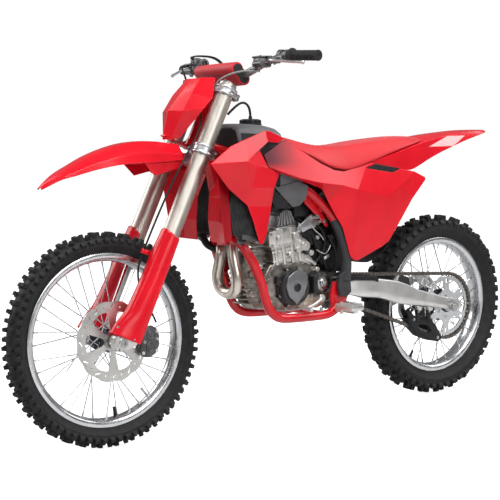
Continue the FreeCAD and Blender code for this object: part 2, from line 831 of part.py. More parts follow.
def fork():
    upper = triple_clamp("upper_clamp", size.upper_clamp_bottom, size.upper_clamp_thickness, 20, -26)
    bar_mounts(upper)
    lower = triple_clamp("lower_clamp", size.lower_clamp_bottom, size.lower_clamp_thickness, 26, -22)
    stem = sketch(lower, "stem_section", "XY_Plane", size.lower_clamp_bottom - 5)
    top = size.upper_clamp_bottom + size.upper_clamp_thickness
    outline(stem, around(BAR_SIDES, size.stem_radius))
    pad(lower, stem, top + 5 + size.seat_gap - size.lower_clamp_bottom)
    volume_check(lower)
    nut = sketch(lower, "stem_nut", "XY_Plane", top + size.seat_gap)
    outline(nut, around(6, size.stem_radius + 4))
    pad(lower, nut, 10)
    volume_check(lower)
    stop = sketch(lower, "steering_stop", "XY_Plane", size.lower_clamp_bottom)
    tongue(stop, size.stem_radius + 17, 20, -20)
    pad(lower, stop, size.lower_clamp_thickness)
    volume_check(lower)
    legs = []
    feet = []
    for side in (1, -1):
        x = float(size.clamp_offset)
        y = side * float(size.fork_spread)
        outer = cylinder(vec(x, y, size.fork_outer_bottom), vec(x, y, size.fork_top), size.fork_outer_radius)
        collar = cylinder(vec(x, y, size.fork_outer_bottom), vec(x, y, size.fork_outer_bottom + 34),
                          size.fork_outer_radius + 2.5)
        cap = cylinder(vec(x, y, size.fork_top), vec(x, y, size.fork_top + 9), 19, 6)
        legs.append(fuse([outer, collar, cap]))
        inner = cylinder(vec(x, y, size.fork_foot_top - 2), vec(x, y, size.fork_outer_bottom - size.seat_gap),
                         size.fork_inner_radius)
        foot = fork_foot(y)
        feet.append(fuse([inner, foot]))
    feature(Part.makeCompound(legs), "fork_tubes", "fork")
    feature(Part.makeCompound(feet), "fork_feet", "fork")
    return lower


def fork_foot(y):
    """The cast foot that holds the axle in front of the leg."""
    x = float(size.clamp_offset)
    axle = float(AXLE_OFFSET)
    side = [(x - 31, 66), (x + 31, 66), (axle + 18, 34), (axle + 25, 8), (axle + 23, -14),
            (axle + 8, -26), (axle - 12, -25), (axle - 26, -12), (x - 22, 14), (x - 31, 40)]
    block = prism([vec(u, y - 21, w) for u, w in side], vec(0, 42, 0))
    hole = bore(vec(axle, y - 40, 0), vec(axle, y + 40, 0), size.front_axle_radius + size.seat_gap)
    slit = Part.makeBox(3, 60, 30, vec(axle - 1.5, y - 30, -40))
    return block.cut(hole).cut(slit)


def front_axle():
    """The hollow axle with a spacer at each side of the hub and a nut."""
    outside = float(size.fork_spread) + 25
    inside = float(size.fork_spread) - 21.3
    hub = float(size.front_hub_width) + 1
    thin = float(size.front_axle_radius)
    profile = [(5, -outside), (thin, -outside), (thin, -inside), (18, -inside), (18, -hub), (thin, -hub),
               (thin, hub), (18, hub), (18, inside), (thin, inside), (thin, outside - 3), (16, outside - 3),
               (16, outside + 3), (5, outside + 3)]
    axle = wheel_ring(profile, 8)
    hollow = Part.makeCylinder(float(size.front_axle_bore), 2 * outside + 20, vec(0, -outside - 10, 0), Y)
    feature(axle.cut(hollow), "front_axle", "front_wheel")


def fork_guards():
    """The plastic guards: a trough round the front of each leg, flared round the axle."""
    guards = []
    for side in (1, -1):
        rings = []
        x = float(size.clamp_offset)
        y = side * float(size.fork_spread)
        levels = [
            (385, 34, 34, 36), (330, 38, 35, 37), (200, 42, 36, 38),
            (110, 50, 36, 40), (60, 68, 36, 40), (22, 76, 38, 40),
        ]
        for up, front, aside, back in levels:
            reach = [(-back * 0.55, 1.0), (back * 0.2, 1.06), (front * 0.62, 0.86), (front, 0.36),
                     (front, -0.36), (front * 0.62, -0.86), (back * 0.2, -1.0)]
            outer = [vec(x + u, y + side * v * aside, up) for u, v in reach]
            inner = [vec(x + u - (3.2 if abs(v) < 0.9 else 0), y + side * v * (aside - 3.4), up)
                     for u, v in reversed(reach)]
            rings.append(outer + inner)
        guards.append(skin(rings))
    feature(Part.makeCompound(guards), "fork_guards", "fork")


def front_caliper():
    """The caliper behind the left leg: two halves bridged round the disc's edge."""
    y = float(size.front_disc_y)
    shape = [(-86, -44), (-100, 26), (-124, 44), (-152, 36), (-160, -8), (-140, -52), (-112, -62)]
    block = prism([vec(x, y - 22, z) for x, z in shape], vec(0, 46, 0))
    slot_half = float(size.front_disc_thickness) / 2 + 3
    reach = float(size.front_disc_radius) + 6
    slot = bore(vec(0, y - slot_half, 0), vec(0, y + slot_half, 0), reach, 36)
    piston = cylinder(vec(-122, y + 20, -8), vec(-122, y + 31, -8), 17)
    bracket = prism([vec(x, y + 13, z) for x, z in [(-66, 6), (-66, 38), (-108, 40), (-112, 0)]], vec(0, 8, 0))
    feature(fuse([block.cut(slot), piston, bracket]), "front_caliper", "front_wheel")


def shell_section(x, points, wall, drop):
    """A thin-walled section of a fender: (y, z) corners on top and the same below."""
    top = [vec(x, y, z) for y, z in points]
    low = [vec(x, y - math.copysign(wall * drop, y) if y else 0, z - wall) for y, z in reversed(points)]
    return top + low


def steered_shape(thing):
    """A fork piece's shape, back in the frame that the steered pieces are drawn in."""
    shape = thing.Shape.copy()
    shape.Placement = frame_placement("steered").inverse() * thing.Placement
    return shape


def front_fender(lower):
    """A long beaked fender: a crowned top with turned-down sides."""
    stations = [
        # x, ridge height, half width of the ridge flat, half width, side height
        (1692, 838, 7, 13, 832), (1660, 862, 15, 34, 852), (1600, 897, 20, 62, 872),
        (1530, 931, 23, 74, 890), (1450, 958, 26, 77, 904), (1380, 972, 28, 74, 912),
        (1310, 974, 30, 72, 922), (1250, 968, 30, 66, 936),
    ]
    rings = []
    for x, ridge, flat_half, half, side in stations:
        points = [(half, side), (half * 0.82, (side + ridge) / 2 + 8), (flat_half, ridge),
                  (-flat_half, ridge), (-half * 0.82, (side + ridge) / 2 + 8), (-half, side)]
        rings.append(shell_section(x, points, 4.0, 0.6))
    shell = skin(rings)
    flaps = []
    for y in (66, -66):
        flap = side_plate([(1352, 912), (1318, 868), (1228, 906), (1240, 934), (1300, 924)], y - 2, y + 2)
        flaps.append(flap)
    tab = [drawn_point(u, v, size.lower_clamp_bottom - 5.3) for u, v in ((17, -34), (118, -30), (118, 30), (17, 34))]
    tab = prism(tab, DRAWN_UP * 5)
    feature(fuse([shell, tab] + flaps), "front_fender", "steered")


def number_plate(lower):
    """A plain faceted front plate, folded down its middle."""
    rows = [
        (1174, 1172, 1108, 78), (1135, 1208, 1120, 88), (1100, 1232, 1126, 88),
        (1040, 1241, 1162, 74), (986, 1252, 1218, 50),
    ]
    rings = []
    for z, middle, edge, half in rows:
        front = [vec(edge, half, z), vec((middle + edge) / 2 + 14, half * 0.55, z), vec(middle, 12, z),
                 vec(middle, -12, z), vec((middle + edge) / 2 + 14, -half * 0.55, z), vec(edge, -half, z)]
        back = [p - vec(4.5, 0, 0) for p in reversed(front)]
        rings.append(front + back)
    tab = [drawn_point(u, v, size.lower_clamp_bottom + 17) for u, v in ((20, -18), (126, -14), (126, 14), (20, 18))]
    tab = prism(tab, DRAWN_UP * 5).cut(steered_shape(lower))
    feature(fuse([skin(rings), tab]), "number_plate", "steered")


def bar_place(x, y, z, side=1):
    """A typed place towards the bar's end, which moves out and in with the bar's width."""
    return vec(x, side * (y + float(size.bar_width) / 2 - DRAWN_BAR_END), z)


def bar_route():
    """The bar's line from the middle to the left end, its bends as short chords."""
    half = float(size.bar_width) / 2
    corners = [BAR_CENTRE, BAR_CENTRE + Y * 88, bar_place(952, 196, 1240), bar_place(926, 262, 1243),
               vec(908, half, 1234)]
    return rounded(corners, 60, 20)


def bar_tube(extra=0.0):
    """The bent bar from end to end, or a thicker copy of it to cut its neighbours clear."""
    route = bar_route()
    whole = [vec(p.x, -p.y, p.z) for p in reversed(route[1:])] + route
    radius = float(size.bar_radius) + extra
    thick = cylinder(BAR_CENTRE - Y * 62, BAR_CENTRE + Y * 62, size.bar_clamp_radius + extra)
    return fuse([pipe(whole, radius, 10), thick])


def handlebar():
    """The tapered bar."""
    feature(bar_tube(), "handlebar", "steered")


def bar_mounts(upper):
    """The two clamps that hold the bar on the upper clamp."""
    top = size.upper_clamp_bottom + size.upper_clamp_thickness
    centre = BAR_CENTRE - DRAWN_FOOT
    forward = centre.dot(DRAWN_FORWARD)
    up = centre.dot(DRAWN_UP)
    hole = (size.bar_clamp_radius + size.seat_gap) / math.cos(math.pi / 14)
    for side in (1, -1):
        start = 24 if side > 0 else -46
        block = sketch(upper, "bar_mount_side", "XZ_Plane", -start - 22)
        outline(block, [(forward - 19, top - 2), (forward + 19, top - 2), (forward + 22, up - 16),
                        (forward + 18, up + 20), (forward - 18, up + 20), (forward - 22, up - 16)])
        outline(block, [(forward + u, up + w) for u, w in around(14, hole, 180 / 14)])
        pad(upper, block, 22, "bar_mount")
        volume_check(upper)


def bar_pad():
    """The foam pad over the middle of the bar."""
    shape = [(1012, 1168), (1030, 1180), (1044, 1200), (1042, 1220), (1026, 1230), (1004, 1226),
             (982, 1212), (974, 1198), (1010, 1199), (1012, 1184)]
    solid = side_plate(shape, -118, 118)
    notch = side_plate([(950, 1150), (1024, 1150), (1024, 1190), (1012, 1214), (950, 1214)], -52, 52)
    keep = solid.cut(bar_tube(1.5)).cut(notch)
    keep = max(keep.Solids, key=lambda part: part.Volume)
    feature(keep, "bar_pad", "steered")


def grips():
    """The rubber grips with their inner flanges."""
    route = bar_route()
    along = (route[-1] - route[-2]).normalize()
    end = route[-1] + along * 2
    start = route[-1] - along * float(size.grip_length)
    tube = cylinder(start, end, size.grip_radius)
    flange = cylinder(start - along * 4, start, size.grip_radius + 8)
    room = bore(start - along * 30, route[-1] + along * 0.3, size.bar_radius + size.seat_gap)
    left = fuse([tube, flange]).cut(room)
    feature(both(left), "grips", "steered")


def hand_controls():
    """The clutch and brake perches with their levers."""
    route = bar_route()
    along = (route[-1] - route[-2]).normalize()
    grip_start = route[-1] - along * float(size.grip_length)
    middle = grip_start - along * 18
    clamp = cylinder(middle - along * 11, middle + along * 9, 19)
    tank = prism([bar_place(950, 190, 1222), bar_place(1000, 198, 1222), bar_place(1004, 236, 1222),
                  bar_place(960, 234, 1222)], vec(-2, 0, 26))
    arm = prism([bar_place(932, 224, 1230), bar_place(986, 222, 1230), bar_place(988, 258, 1230),
                 bar_place(932, 258, 1230)], vec(0, 0, 12))
    lever = pipe([bar_place(984, 244, 1226), bar_place(992, 268, 1225), bar_place(980, 324, 1219),
                  bar_place(964, 392, 1212)], 5.5, 6)
    whole = fuse([clamp, tank, arm, lever]).cut(bar_tube(0.4))
    feature(both(max(whole.Solids, key=lambda part: part.Volume)), "hand_controls", "steered")


def cables():
    """The throttle cables, the clutch line and the front brake hose."""
    throttle = []
    for shift in (0, 11):
        points = [bar_place(958, 262 - shift, 1262, -1), bar_place(1000, 240 - shift, 1284, -1),
                  vec(1052, -190 + shift, 1280), vec(1092, -130 + shift, 1250), vec(1108, -84 + shift, 1200),
                  vec(1096, -54 + shift, 1142), vec(1070, -44 + shift / 2, 1096)]
        throttle.append(pipe(rounded(points, 60, 30), 3, 5))
    feature(Part.makeCompound(throttle), "throttle_cables", "steered")
    clutch = pipe(rounded([bar_place(1004, 205, 1233), vec(1052, 196, 1236), vec(1094, 150, 1212),
                           vec(1102, 100, 1172), vec(1088, 62, 1128)], 50, 30), 3, 5)
    feature(clutch, "clutch_cable", "steered")
    hose = [bar_place(1004, 215, 1235, -1), vec(1052, -190, 1234), vec(1078, -120, 1196), vec(1112, -50, 1130),
            vec(1150, 20, 1052), vec(1184, 84, 985), vec(1218, 100, 930), vec(1276, 110, 845), vec(1330, 118, 745),
            drawn_point(86, 112, 318), drawn_point(72, 66, 238), drawn_point(24, 60, 180),
            drawn_point(-16, 68, 152), drawn_point(-56, 84, 110)]
    feature(pipe(rounded(hose, 80, 30), 3.5, 5), "brake_hose", "steered")


LOWER_CLAMP = fork()
front_axle()
fork_guards()
front_caliper()
DOC.recompute()
front_fender(LOWER_CLAMP)
number_plate(LOWER_CLAMP)
handlebar()
bar_pad()
grips()
hand_controls()
cables()


def engine_point(forward, up):
    """A side-view place from the crank, along and across the leaning cylinder."""
    lean = math.radians(float(size.cylinder_lean))
    return (float(size.crank_x) + forward * math.cos(lean) + up * math.sin(lean),
            float(size.crank_z) - forward * math.sin(lean) + up * math.cos(lean))


def rail(side, grown=0.0):
    """One of the two rails that run back from the head tube and down to the pivot."""
    route = [spot(1098, side * 16, 966), spot(905, side * 46, 900), spot(710, side * 80, 785),
             spot(582, side * 100, 690), spot(549, side * 107, 560), spot(552, side * 107, 470)]
    return pipe(rounded(route, 120, 22), size.frame_tube_radius + grown, 7)


def frame_spine():
    """The head tube and the two rails that run back from it and down to the pivot."""
    low = float(size.lower_clamp_bottom + size.lower_clamp_thickness) + 5
    high = float(size.upper_clamp_bottom) - 5
    head = cylinder(steer_point(0, 0, low), steer_point(0, 0, high), size.head_tube_radius)
    hollow = cylinder(steer_point(0, 0, low - 9), steer_point(0, 0, high + 9),
                      size.head_tube_radius - size.head_tube_wall)
    rails = [rail(side) for side in (1, -1)]
    gusset = frame_plate([(1086, 966), (1000, 926), (1010, 900), (1060, 900)], -9, 9)
    tie = cylinder(spot(640, -92, 735), spot(640, 92, 735), 12)
    return feature(fuse([head, gusset, tie] + rails).cut(hollow), "frame_spine")


def frame_cradle(spine):
    """The single down tube, the two cradle tubes under the engine and the pivot plates."""
    down = pipe([spot(1098, 0, 985), spot(1060, 0, 912), spot(1012, 0, 655)], size.down_tube_radius, 8)
    parts = [down]
    half = float(size.frame_half_width)
    for side in (1, -1):
        route = [spot(1016, side * 8, 664), spot(1000, side * 30, 628), spot(968, side * 68, 560),
                 spot(926, side * 92, 470), spot(884, side * 100, 392), spot(846, side * 100, 366),
                 spot(620, side * 96, 362), spot(566, side * 98, 386)]
        parts.append(pipe(rounded(route, 70, 30), size.frame_tube_radius, 6))
        inner = side * (half - 17)
        plate = frame_plate([(528, 474), (590, 476), (600, 430), (590, 372), (548, 372), (526, 420)],
                           inner, inner + side * 14)
        parts.append(plate)
    parts.append(cylinder(spot(640, -90, 366), spot(640, 90, 366), 11))
    parts.append(cylinder(PIVOT - Y * 112, PIVOT + Y * 112, size.pivot_radius))
    parts.append(cylinder(PIVOT - Y * 116, PIVOT - Y * 95, 15, 6))
    parts.append(cylinder(PIVOT + Y * 95, PIVOT + Y * 116, 15, 6))
    low = float(size.lower_clamp_bottom + size.lower_clamp_thickness) + 5
    hollow = cylinder(steer_point(0, 0, low - 30), steer_point(0, 0, low + 180), size.head_tube_radius - 2)
    return feature(fuse(parts).cut(ground_shape(spine)).cut(hollow), "frame_cradle")


def ground_shape(thing):
    """A piece's shape back in the ground frame."""
    shape = thing.Shape.copy()
    shape.Placement = FreeCAD.Placement()
    return shape


def frame_guards():
    """The plastic guards outside the frame's uprights."""
    corners = [(571, 684), (523, 619), (506, 540), (508, 458), (528, 412), (590, 404), (600, 452),
               (578, 500), (566, 545), (574, 604), (599, 668)]
    low = float(size.frame_half_width) + 18.3
    feature(both(frame_plate(corners, low, low + 4)), "frame_guards")


def subframe(spine, cradle):
    """The light tubes that carry the seat and the tail."""
    tubes = []
    for side in (1, -1):
        upper = [spot(645, side * 70, 772), spot(430, side * 70, 846), spot(240, side * 62, 902), spot(70, side * 44, 936)]
        lower = [spot(560, side * 84, 620), spot(400, side * 78, 740), spot(250, side * 62, 872)]
        tubes.append(pipe(rounded(upper, 200, 30), 10, 5))
        tubes.append(pipe(lower, 9, 5))
    ties = [cylinder(spot(x, -60, z), spot(x, 60, z), 7) for x, z in ((250, 899), (90, 932))]
    whole = fuse(tubes + ties)
    feature(whole.cut(grown_rails()), "subframe")


def grown_rails():
    """The frame's rails with a seat gap round them, to cut neighbours clear."""
    return fuse([rail(side, size.seat_gap + 0.7) for side in (1, -1)])


def engine():
    """The engine that shows inside the frame, with its covers and head stays."""
    half = float(size.case_half_width)
    case = frame_plate([(548, 440), (560, 492), (640, 532), (700, 556), (838, 548), (868, 506), (866, 420),
                       (815, 384), (660, 380), (585, 400)], -half, half)
    case = case.cut(cylinder(PIVOT - Y * 140, PIVOT + Y * 140, 32))
    ignition = turned_cover(size.crank_x, size.crank_z, half, float(size.ignition_cover_y), float(size.cover_radius), 1)
    clutch = turned_cover(678, 468, half, -float(size.clutch_cover_y), 72, -1)
    feature(fuse([case, ignition, clutch]), "engine_cases")
    top = [engine_point(u, w) for u, w in ((-60, 60), (62, 60), (64, 150), (78, 158), (78, 205), (-66, 205), (-64, 150))]
    barrel = frame_plate(top, -half + 2, half - 2).cut(case)
    port = pipe([spot(*lift(engine_point(60, 178))), spot(*lift(engine_point(93, 184)))], 26, 10)
    intake = pipe([spot(*lift(engine_point(-50, 178), 26)), spot(*lift(engine_point(-88, 190), 26))], 27, 10)
    cover = [engine_point(u, w) for u, w in ((-52, 204), (58, 204), (60, 226), (44, 250), (-34, 254), (-54, 236))]
    head = feature(fuse([barrel, port, intake, frame_plate(cover, -50, 50)]), "cylinder")
    stay = frame_plate([(604, 694), (650, 712), (706, 690), (722, 668), (700, 655), (650, 676)], half - 1.7, 63)
    feature(both(stay), "engine_stays")
    return head


def lift(place, y=0.0):
    """An (x, z) place as x, y, z."""
    return place[0], y, place[1]


def turned_cover(x, z, inner, outer, radius, side):
    """A round engine cover turned from a stepped profile."""
    depth = outer - inner
    steps = [(inner - 1, inner + depth * 0.45, radius), (inner + depth * 0.45, inner + depth * 0.82, radius - 6),
             (inner + depth * 0.82, outer, radius - 16)]
    return fuse([cylinder(spot(x, side * low, z), spot(x, side * high, z), reach, 14) for low, high, reach in steps])


def front_sprocket():
    """The small sprocket on the gearbox shaft."""
    made = body("front_sprocket")
    tip = pitch_circle(size.front_teeth) - float(size.chain_roller) / 2 - float(size.tooth_gap)
    face = sketch(made, "front_teeth_edge", "XZ_Plane", -size.chain_y - size.tooth_width / 2)
    outline(face, around(2 * int(float(size.front_teeth)), tip, 0, 3))
    pad(made, face, size.tooth_width)
    volume_check(made)
    hub = sketch(made, "front_sprocket_hub", "XZ_Plane", -size.chain_y - size.tooth_width / 2 - 4)
    outline(hub, around(12, 16))
    pad(made, hub, size.chain_y - size.case_half_width + size.tooth_width / 2 + 3.7)
    volume_check(made)
    node(made, "front_sprocket", "ground")
    made.Placement = made.Placement * FreeCAD.Placement(DRIVE_SHAFT, FreeCAD.Rotation())


def exhaust(head):
    """The header with its hanging loop, and the silencer on the right."""
    x, z = engine_point(101, 184)
    route = [spot(x, 0, z), spot(x + 50, 10, z + 14), spot(1000, 50, 688), spot(1050, 56, 640), spot(1046, 56, 520),
             spot(1040, 30, 458), spot(1040, -30, 458), spot(1044, -56, 520), spot(1030, -84, 588), spot(960, -122, 604),
             spot(860, -128, 606), spot(700, -134, 625), spot(600, -149, 650), spot(500, -152, 668), spot(440, -152, 676)]
    near = spot(*lift(engine_point(93.3, 184)))
    collar = cylinder(near, near + (route[0] - near) * 1.6, 25, 10)
    header = fuse([pipe(rounded(route, 45, 38), 19, 6), collar]).cut(ground_shape(head))
    start = spot(469.5, -152, 672)
    end = spot(110, -156, 780)
    along = (end - start).normalize()
    rings = []
    for reach, half_wide, half_tall in ((0, 26, 26), (40, 44, 50), (330, 44, 50), (368, 30, 36)):
        centre = start + along * reach
        up = along.cross(Y).normalize()
        if up.z < 0:
            up = up * -1
        ring_points = []
        for i in range(10):
            angle = 2 * math.pi * (i + 0.5) / 10
            ring_points.append(centre + Y * (half_wide * math.cos(angle)) + up * (half_tall * math.sin(angle)))
        rings.append(ring_points)
    can = skin(rings)
    feature(can, "silencer")
    feature(header.cut(can), "header_pipe")


def radiators(spine, cradle):
    """The two radiators beside the down tube."""
    block = frame_plate([(952, 652), (1030, 668), (1052, 868), (988, 868)], 104, 138)
    low_tank = frame_plate([(948, 640), (1032, 656), (1030, 668), (952, 652)], 102, 142)
    top_tank = frame_plate([(988, 868), (1052, 868), (1046, 884), (992, 884)], 102, 142)
    wing = frame_plate([(1040, 882), (1150, 884), (1160, 866), (1110, 790), (1070, 668), (1026, 660), (1050, 800)],
                      141, 145)
    bracket = cylinder(spot(1010, 20, 872), spot(1010, 108, 872), 6, 6)
    whole = fuse([block, low_tank, top_tank, wing, bracket])
    solids = []
    for shape in (whole, mirrored(whole)):
        shape = shape.cut(ground_shape(spine)).cut(ground_shape(cradle))
        solids.append(max(shape.Solids, key=lambda part: part.Volume))
    feature(Part.makeCompound(solids), "radiators")


def fairing_skin(corners, levels, wall):
    """A panel: a side-view outline cut from a bent sheet, y given at (x, z) levels."""
    rings = []
    for z, places in levels:
        outer = [spot(x, y, z) for x, y in places]
        inner = [spot(x, y - wall, z) for x, y in reversed(places)]
        rings.append(outer + inner)
    sheet = skin(rings)
    low = min(y for _, places in levels for _, y in places) - wall - 5
    high = max(y for _, places in levels for _, y in places) + 5
    return sheet.common(frame_plate(corners, low, high))


def shrouds():
    """The faceted radiator shrouds with their long lower spear."""
    corners = [(849, 977), (906, 1006), (931, 1008), (970, 987), (1012, 968), (1074, 956), (1136, 930), (1204, 914),
               (1180, 880), (1112, 812), (1066, 775), (1025, 730), (1000, 690), (990, 655), (978, 640),
               (955, 655), (946, 690), (938, 760), (930, 815), (905, 880), (915, 939), (871, 962)]
    levels = [
        (600, [(820, 150), (900, 156), (1000, 162), (1240, 172)]),
        (780, [(820, 142), (900, 162), (1020, 180), (1240, 202)]),
        (900, [(820, 128), (900, 146), (1050, 192), (1240, 214)]),
        (1030, [(820, 96), (900, 108), (1050, 150), (1240, 180)]),
    ]
    feature(both(fairing_skin(corners, levels, 4)), "shrouds")


def fuel_tank(spine):
    """The plastic tank astride the frame."""
    stations = [
        (1000, 1022, 44, 70, 1000, 76, 950, 60, 935), (960, 1030, 50, 92, 1000, 100, 900, 92, 850),
        (880, 1026, 52, 96, 990, 106, 870, 104, 790), (818, 1012, 50, 92, 975, 106, 850, 104, 762),
        (806, 962, 50, 92, 940, 106, 850, 104, 762), (738, 924, 44, 86, 915, 104, 850, 102, 800),
    ]
    rings = []
    for x, top, flat_half, shoulder, shoulder_z, side, side_z, low, low_z in stations:
        points = [(flat_half, top), (shoulder, shoulder_z), (side, side_z), (low, low_z)]
        rings.append([spot(x, y, z) for y, z in points] + [spot(x, -y, z) for y, z in reversed(points)])
    solid = skin(rings)
    tunnel = frame_plate([(700, 700), (700, 880), (900, 925), (1060, 960), (1060, 700)], -70, 70)
    solid = solid.cut(tunnel).cut(grown_rails())
    solid = max(solid.Solids, key=lambda part: part.Volume)
    feature(solid, "fuel_tank")
    cap = fuse([cylinder(spot(886, 0, 1022), spot(886, 0, 1046), 38, 12), cylinder(spot(886, 0, 1045), spot(886, 0, 1056), 8, 8)])
    feature(cap.cut(solid), "fuel_cap")
    hose = [spot(886, 0, 1056.4), spot(886, 0, 1082), spot(922, 4, 1106), spot(970, 8, 1088), spot(998, 0, 1034)]
    feature(pipe(rounded(hose, 40, 30), 4, 6), "vent_hose")


def seat():
    """The long flat seat."""
    stations = [
        # x, top, half width on top, half width at the seam, seam height
        (806, 984, 44, 74, 972), (760, 980, 52, 96, 946), (680, 960, 58, 108, 910), (600, 950, 64, 112, 876),
        (540, 949, 68, 112, 864), (440, 958, 72, 112, 890), (330, 968, 72, 110, 920), (220, 974, 66, 102, 948),
        (140, 972, 56, 84, 962),
    ]
    rings = []
    for x, top, flat_half, seam, seam_z in stations:
        points = [(flat_half, top), (flat_half + 12, top - 6), (seam, seam_z), (seam - 8, seam_z - 2)]
        rings.append([spot(x, y, z) for y, z in points] + [spot(x, -y, z) for y, z in reversed(points)])
    feature(skin(rings), "seat")


def side_panels():
    """The wide side panels under the seat."""
    corners = [(836, 974), (748, 934), (657, 897), (601, 872), (540, 859), (458, 866), (331, 848), (231, 850),
               (178, 832), (168, 819), (244, 738), (294, 690), (343, 622), (367, 598), (392, 588), (441, 573),
               (489, 558), (508, 547), (518, 556), (552, 631), (600, 725), (642, 792), (679, 811), (733, 830),
               (805, 856), (900, 882), (912, 939), (871, 960)]
    levels = [
        (540, [(150, 112), (420, 134), (600, 136), (1000, 138)]),
        (830, [(150, 114), (420, 130), (600, 132), (1000, 136)]),
        (990, [(150, 108), (420, 118), (600, 118), (1000, 116)]),
    ]
    left = fairing_skin(corners, levels, 4)
    corners = corners[:7] + [(231, 850), (178, 834), (180, 822), (469, 728), (540, 716)] + corners[20:]
    right = mirrored(fairing_skin(corners, levels, 4))
    feature(Part.makeCompound([left, right]), "side_panels")


def rear_fender():
    """The tail: a crowned shell behind the seat, with its sides run forward under it."""
    stations = [
        (230, 936, 60, 98, 868), (130, 962, 50, 92, 890), (60, 974, 44, 84, 914), (-20, 982, 38, 74, 936),
        (-100, 988, 30, 60, 956), (-180, 992, 22, 44, 974), (-262, 991, 10, 22, 984),
    ]
    rings = []
    for x, ridge, flat_half, half, side in stations:
        points = [(half, side), (half * 0.92, side + (ridge - side) * 0.7), (flat_half, ridge),
                  (-flat_half, ridge), (-half * 0.92, side + (ridge - side) * 0.7), (-half, side)]
        rings.append(shell_section(x, points, 4.0, 0.7))
    shell = skin(rings)
    sides = frame_plate([(469, 877), (372, 899), (273, 927), (222, 938), (222, 868), (300, 868), (415, 887)], 94, 98)
    feature(fuse([shell, sides, mirrored(sides)]), "rear_fender")


def airbox():
    """The airbox and the throttle body."""
    box = frame_plate([(516, 700), (540, 790), (530, 848), (330, 848), (288, 770), (400, 650)], -54, 58)
    x, z = engine_point(-102, 193)
    throat = pipe([spot(x, 26, z), spot(600, 30, 690), spot(510, 32, 740)], 26, 8)
    curve = [(236, 700), (262, 640), (304, 576), (352, 545), (392, 532)]
    top = [spot(x, 62, z) for x, z in curve]
    low = [spot(x + 3, 62, z + 3.5) for x, z in reversed(curve)]
    flap = prism(top + low, vec(0, -124, 0))
    hanger = frame_plate([(246, 676), (330, 700), (300, 772), (290, 772)], -30, 30)
    feature(fuse([box, throat, flap, hanger]), "airbox")


def swingarm():
    """The cast swingarm: two tapering beams, a bridge and the pivot tube."""
    half = float(size.swingarm_half_width)
    stations = [
        # x, top, bottom, outer y, inner y
        (560, 470, 424, 84, 52), (516, 482, 424, 85, 54), (470, 480, 416, 102, 66), (380, 472, 404, half, 80),
        (281, 455, 373, half, 86), (178, 418, 357, half, 91), (-34, 364, 322, half, 91),
        (-46, 356, 326, half, 91),
    ]
    bevel = 5
    rings = []
    for x, top, bottom, outer, inner in stations:
        section = [(outer, bottom + bevel), (outer, top - bevel), (outer - bevel, top), (inner + bevel, top),
                   (inner, top - bevel), (inner, bottom + bevel), (inner + bevel, bottom), (outer - bevel, bottom)]
        rings.append([spot(x, y, z) for y, z in section])
    reach = float(size.rear_axle_radius + size.seat_gap)
    slot = Part.makeBox(2 * reach + 12, 280, 2 * reach, vec(-reach - 6, -140, REAR_AXLE.z - reach))
    beam = skin(list(reversed(rings)))
    tail = Part.makeBox(200, 400, 400, vec(-140, -200, REAR_AXLE.z - 200))
    ends = [beam.common(tail).cut(slot), mirrored(beam).common(tail).cut(slot)]
    beam = beam.cut(tail)
    tube = pipe([PIVOT - Y * 83.5, PIVOT + Y * 83.5], 21, 12)
    bridge = frame_plate([(500, 474), (470, 476), (400, 466), (398, 412), (470, 420), (505, 430)], -84, 84)
    hole = bore(PIVOT - Y * 140, PIVOT + Y * 140, size.pivot_radius + size.seat_gap)
    room = frame_plate([(396, 390), (396, 500), (500, 500), (500, 390)], -64, -2)
    casting = fuse([beam, mirrored(beam), bridge, tube]).cut(hole).cut(room)
    return feature(Part.makeCompound([casting] + ends), "swingarm")


def rear_axle():
    """The hollow rear axle with its spacers, nut and adjuster blocks."""
    half = float(size.swingarm_half_width)
    y = half + 16
    inside = half - 24.3
    thin = float(size.rear_axle_radius)
    profile = [(5, -y), (thin, -y), (thin, -inside), (20, -inside), (20, -85), (thin, -85),
               (thin, 85), (20, 85), (20, inside), (thin, inside), (thin, half + 6), (18, half + 6),
               (18, half + 14), (thin, half + 14), (thin, y), (5, y)]
    blocks = [Part.makeBox(34, 6, 26, vec(-17, half + 0.3 if side > 0 else -half - 6.3, -13)) for side in (1, -1)]
    axle = fuse([wheel_ring(profile, 8)] + blocks)
    hollow = Part.makeCylinder(float(size.rear_axle_bore), 2 * y + 20, vec(0, -y - 10, 0), Y)
    feature(axle.cut(hollow), "rear_axle", "rear_wheel")


def rear_caliper():
    """The rear caliper above the right arm, over the disc's front edge."""
    y = float(size.rear_disc_y)
    z0 = REAR_AXLE.z
    shape = [(52, 56), (96, 24), (134, 44), (132, 84), (100, 112), (58, 100)]
    block = prism([vec(x, y - 14.5, z0 + z) for x, z in shape], vec(0, 37, 0))
    slot = bore(vec(0, y - 6, z0), vec(0, y + 6, z0), size.rear_disc_radius + 6, 36)
    arm = float(size.swingarm_half_width) - 24.3
    hanger = side_plate([(32, z0 + 14), (26, z0 + 36), (60, z0 + 64), (72, z0 + 42)], -arm, y - 7.5)
    feature(fuse([block.cut(slot), hanger]), "rear_caliper")


def shock():
    """The shock absorber in front of the airbox, with its spring and linkage."""
    foot = spot(440, -33, 420)
    head = spot(592, -33, 716)
    along = (head - foot).normalize()
    rod = cylinder(foot, foot + along * 90, 8, 8)
    spring = cylinder(foot + along * 60, foot + along * 250, 29, 10)
    top = cylinder(foot + along * 248, head, 20, 10)
    eye = cylinder(spot(440, -47, 420), spot(440, -19, 420), 13, 8)
    link = frame_plate([(424, 406.8), (456, 406.8), (500, 388), (516, 368), (500, 356), (430, 372)], -50, -16)
    feature(Part.makeCompound([fuse([rod, spring, top, eye]), link]), "shock")


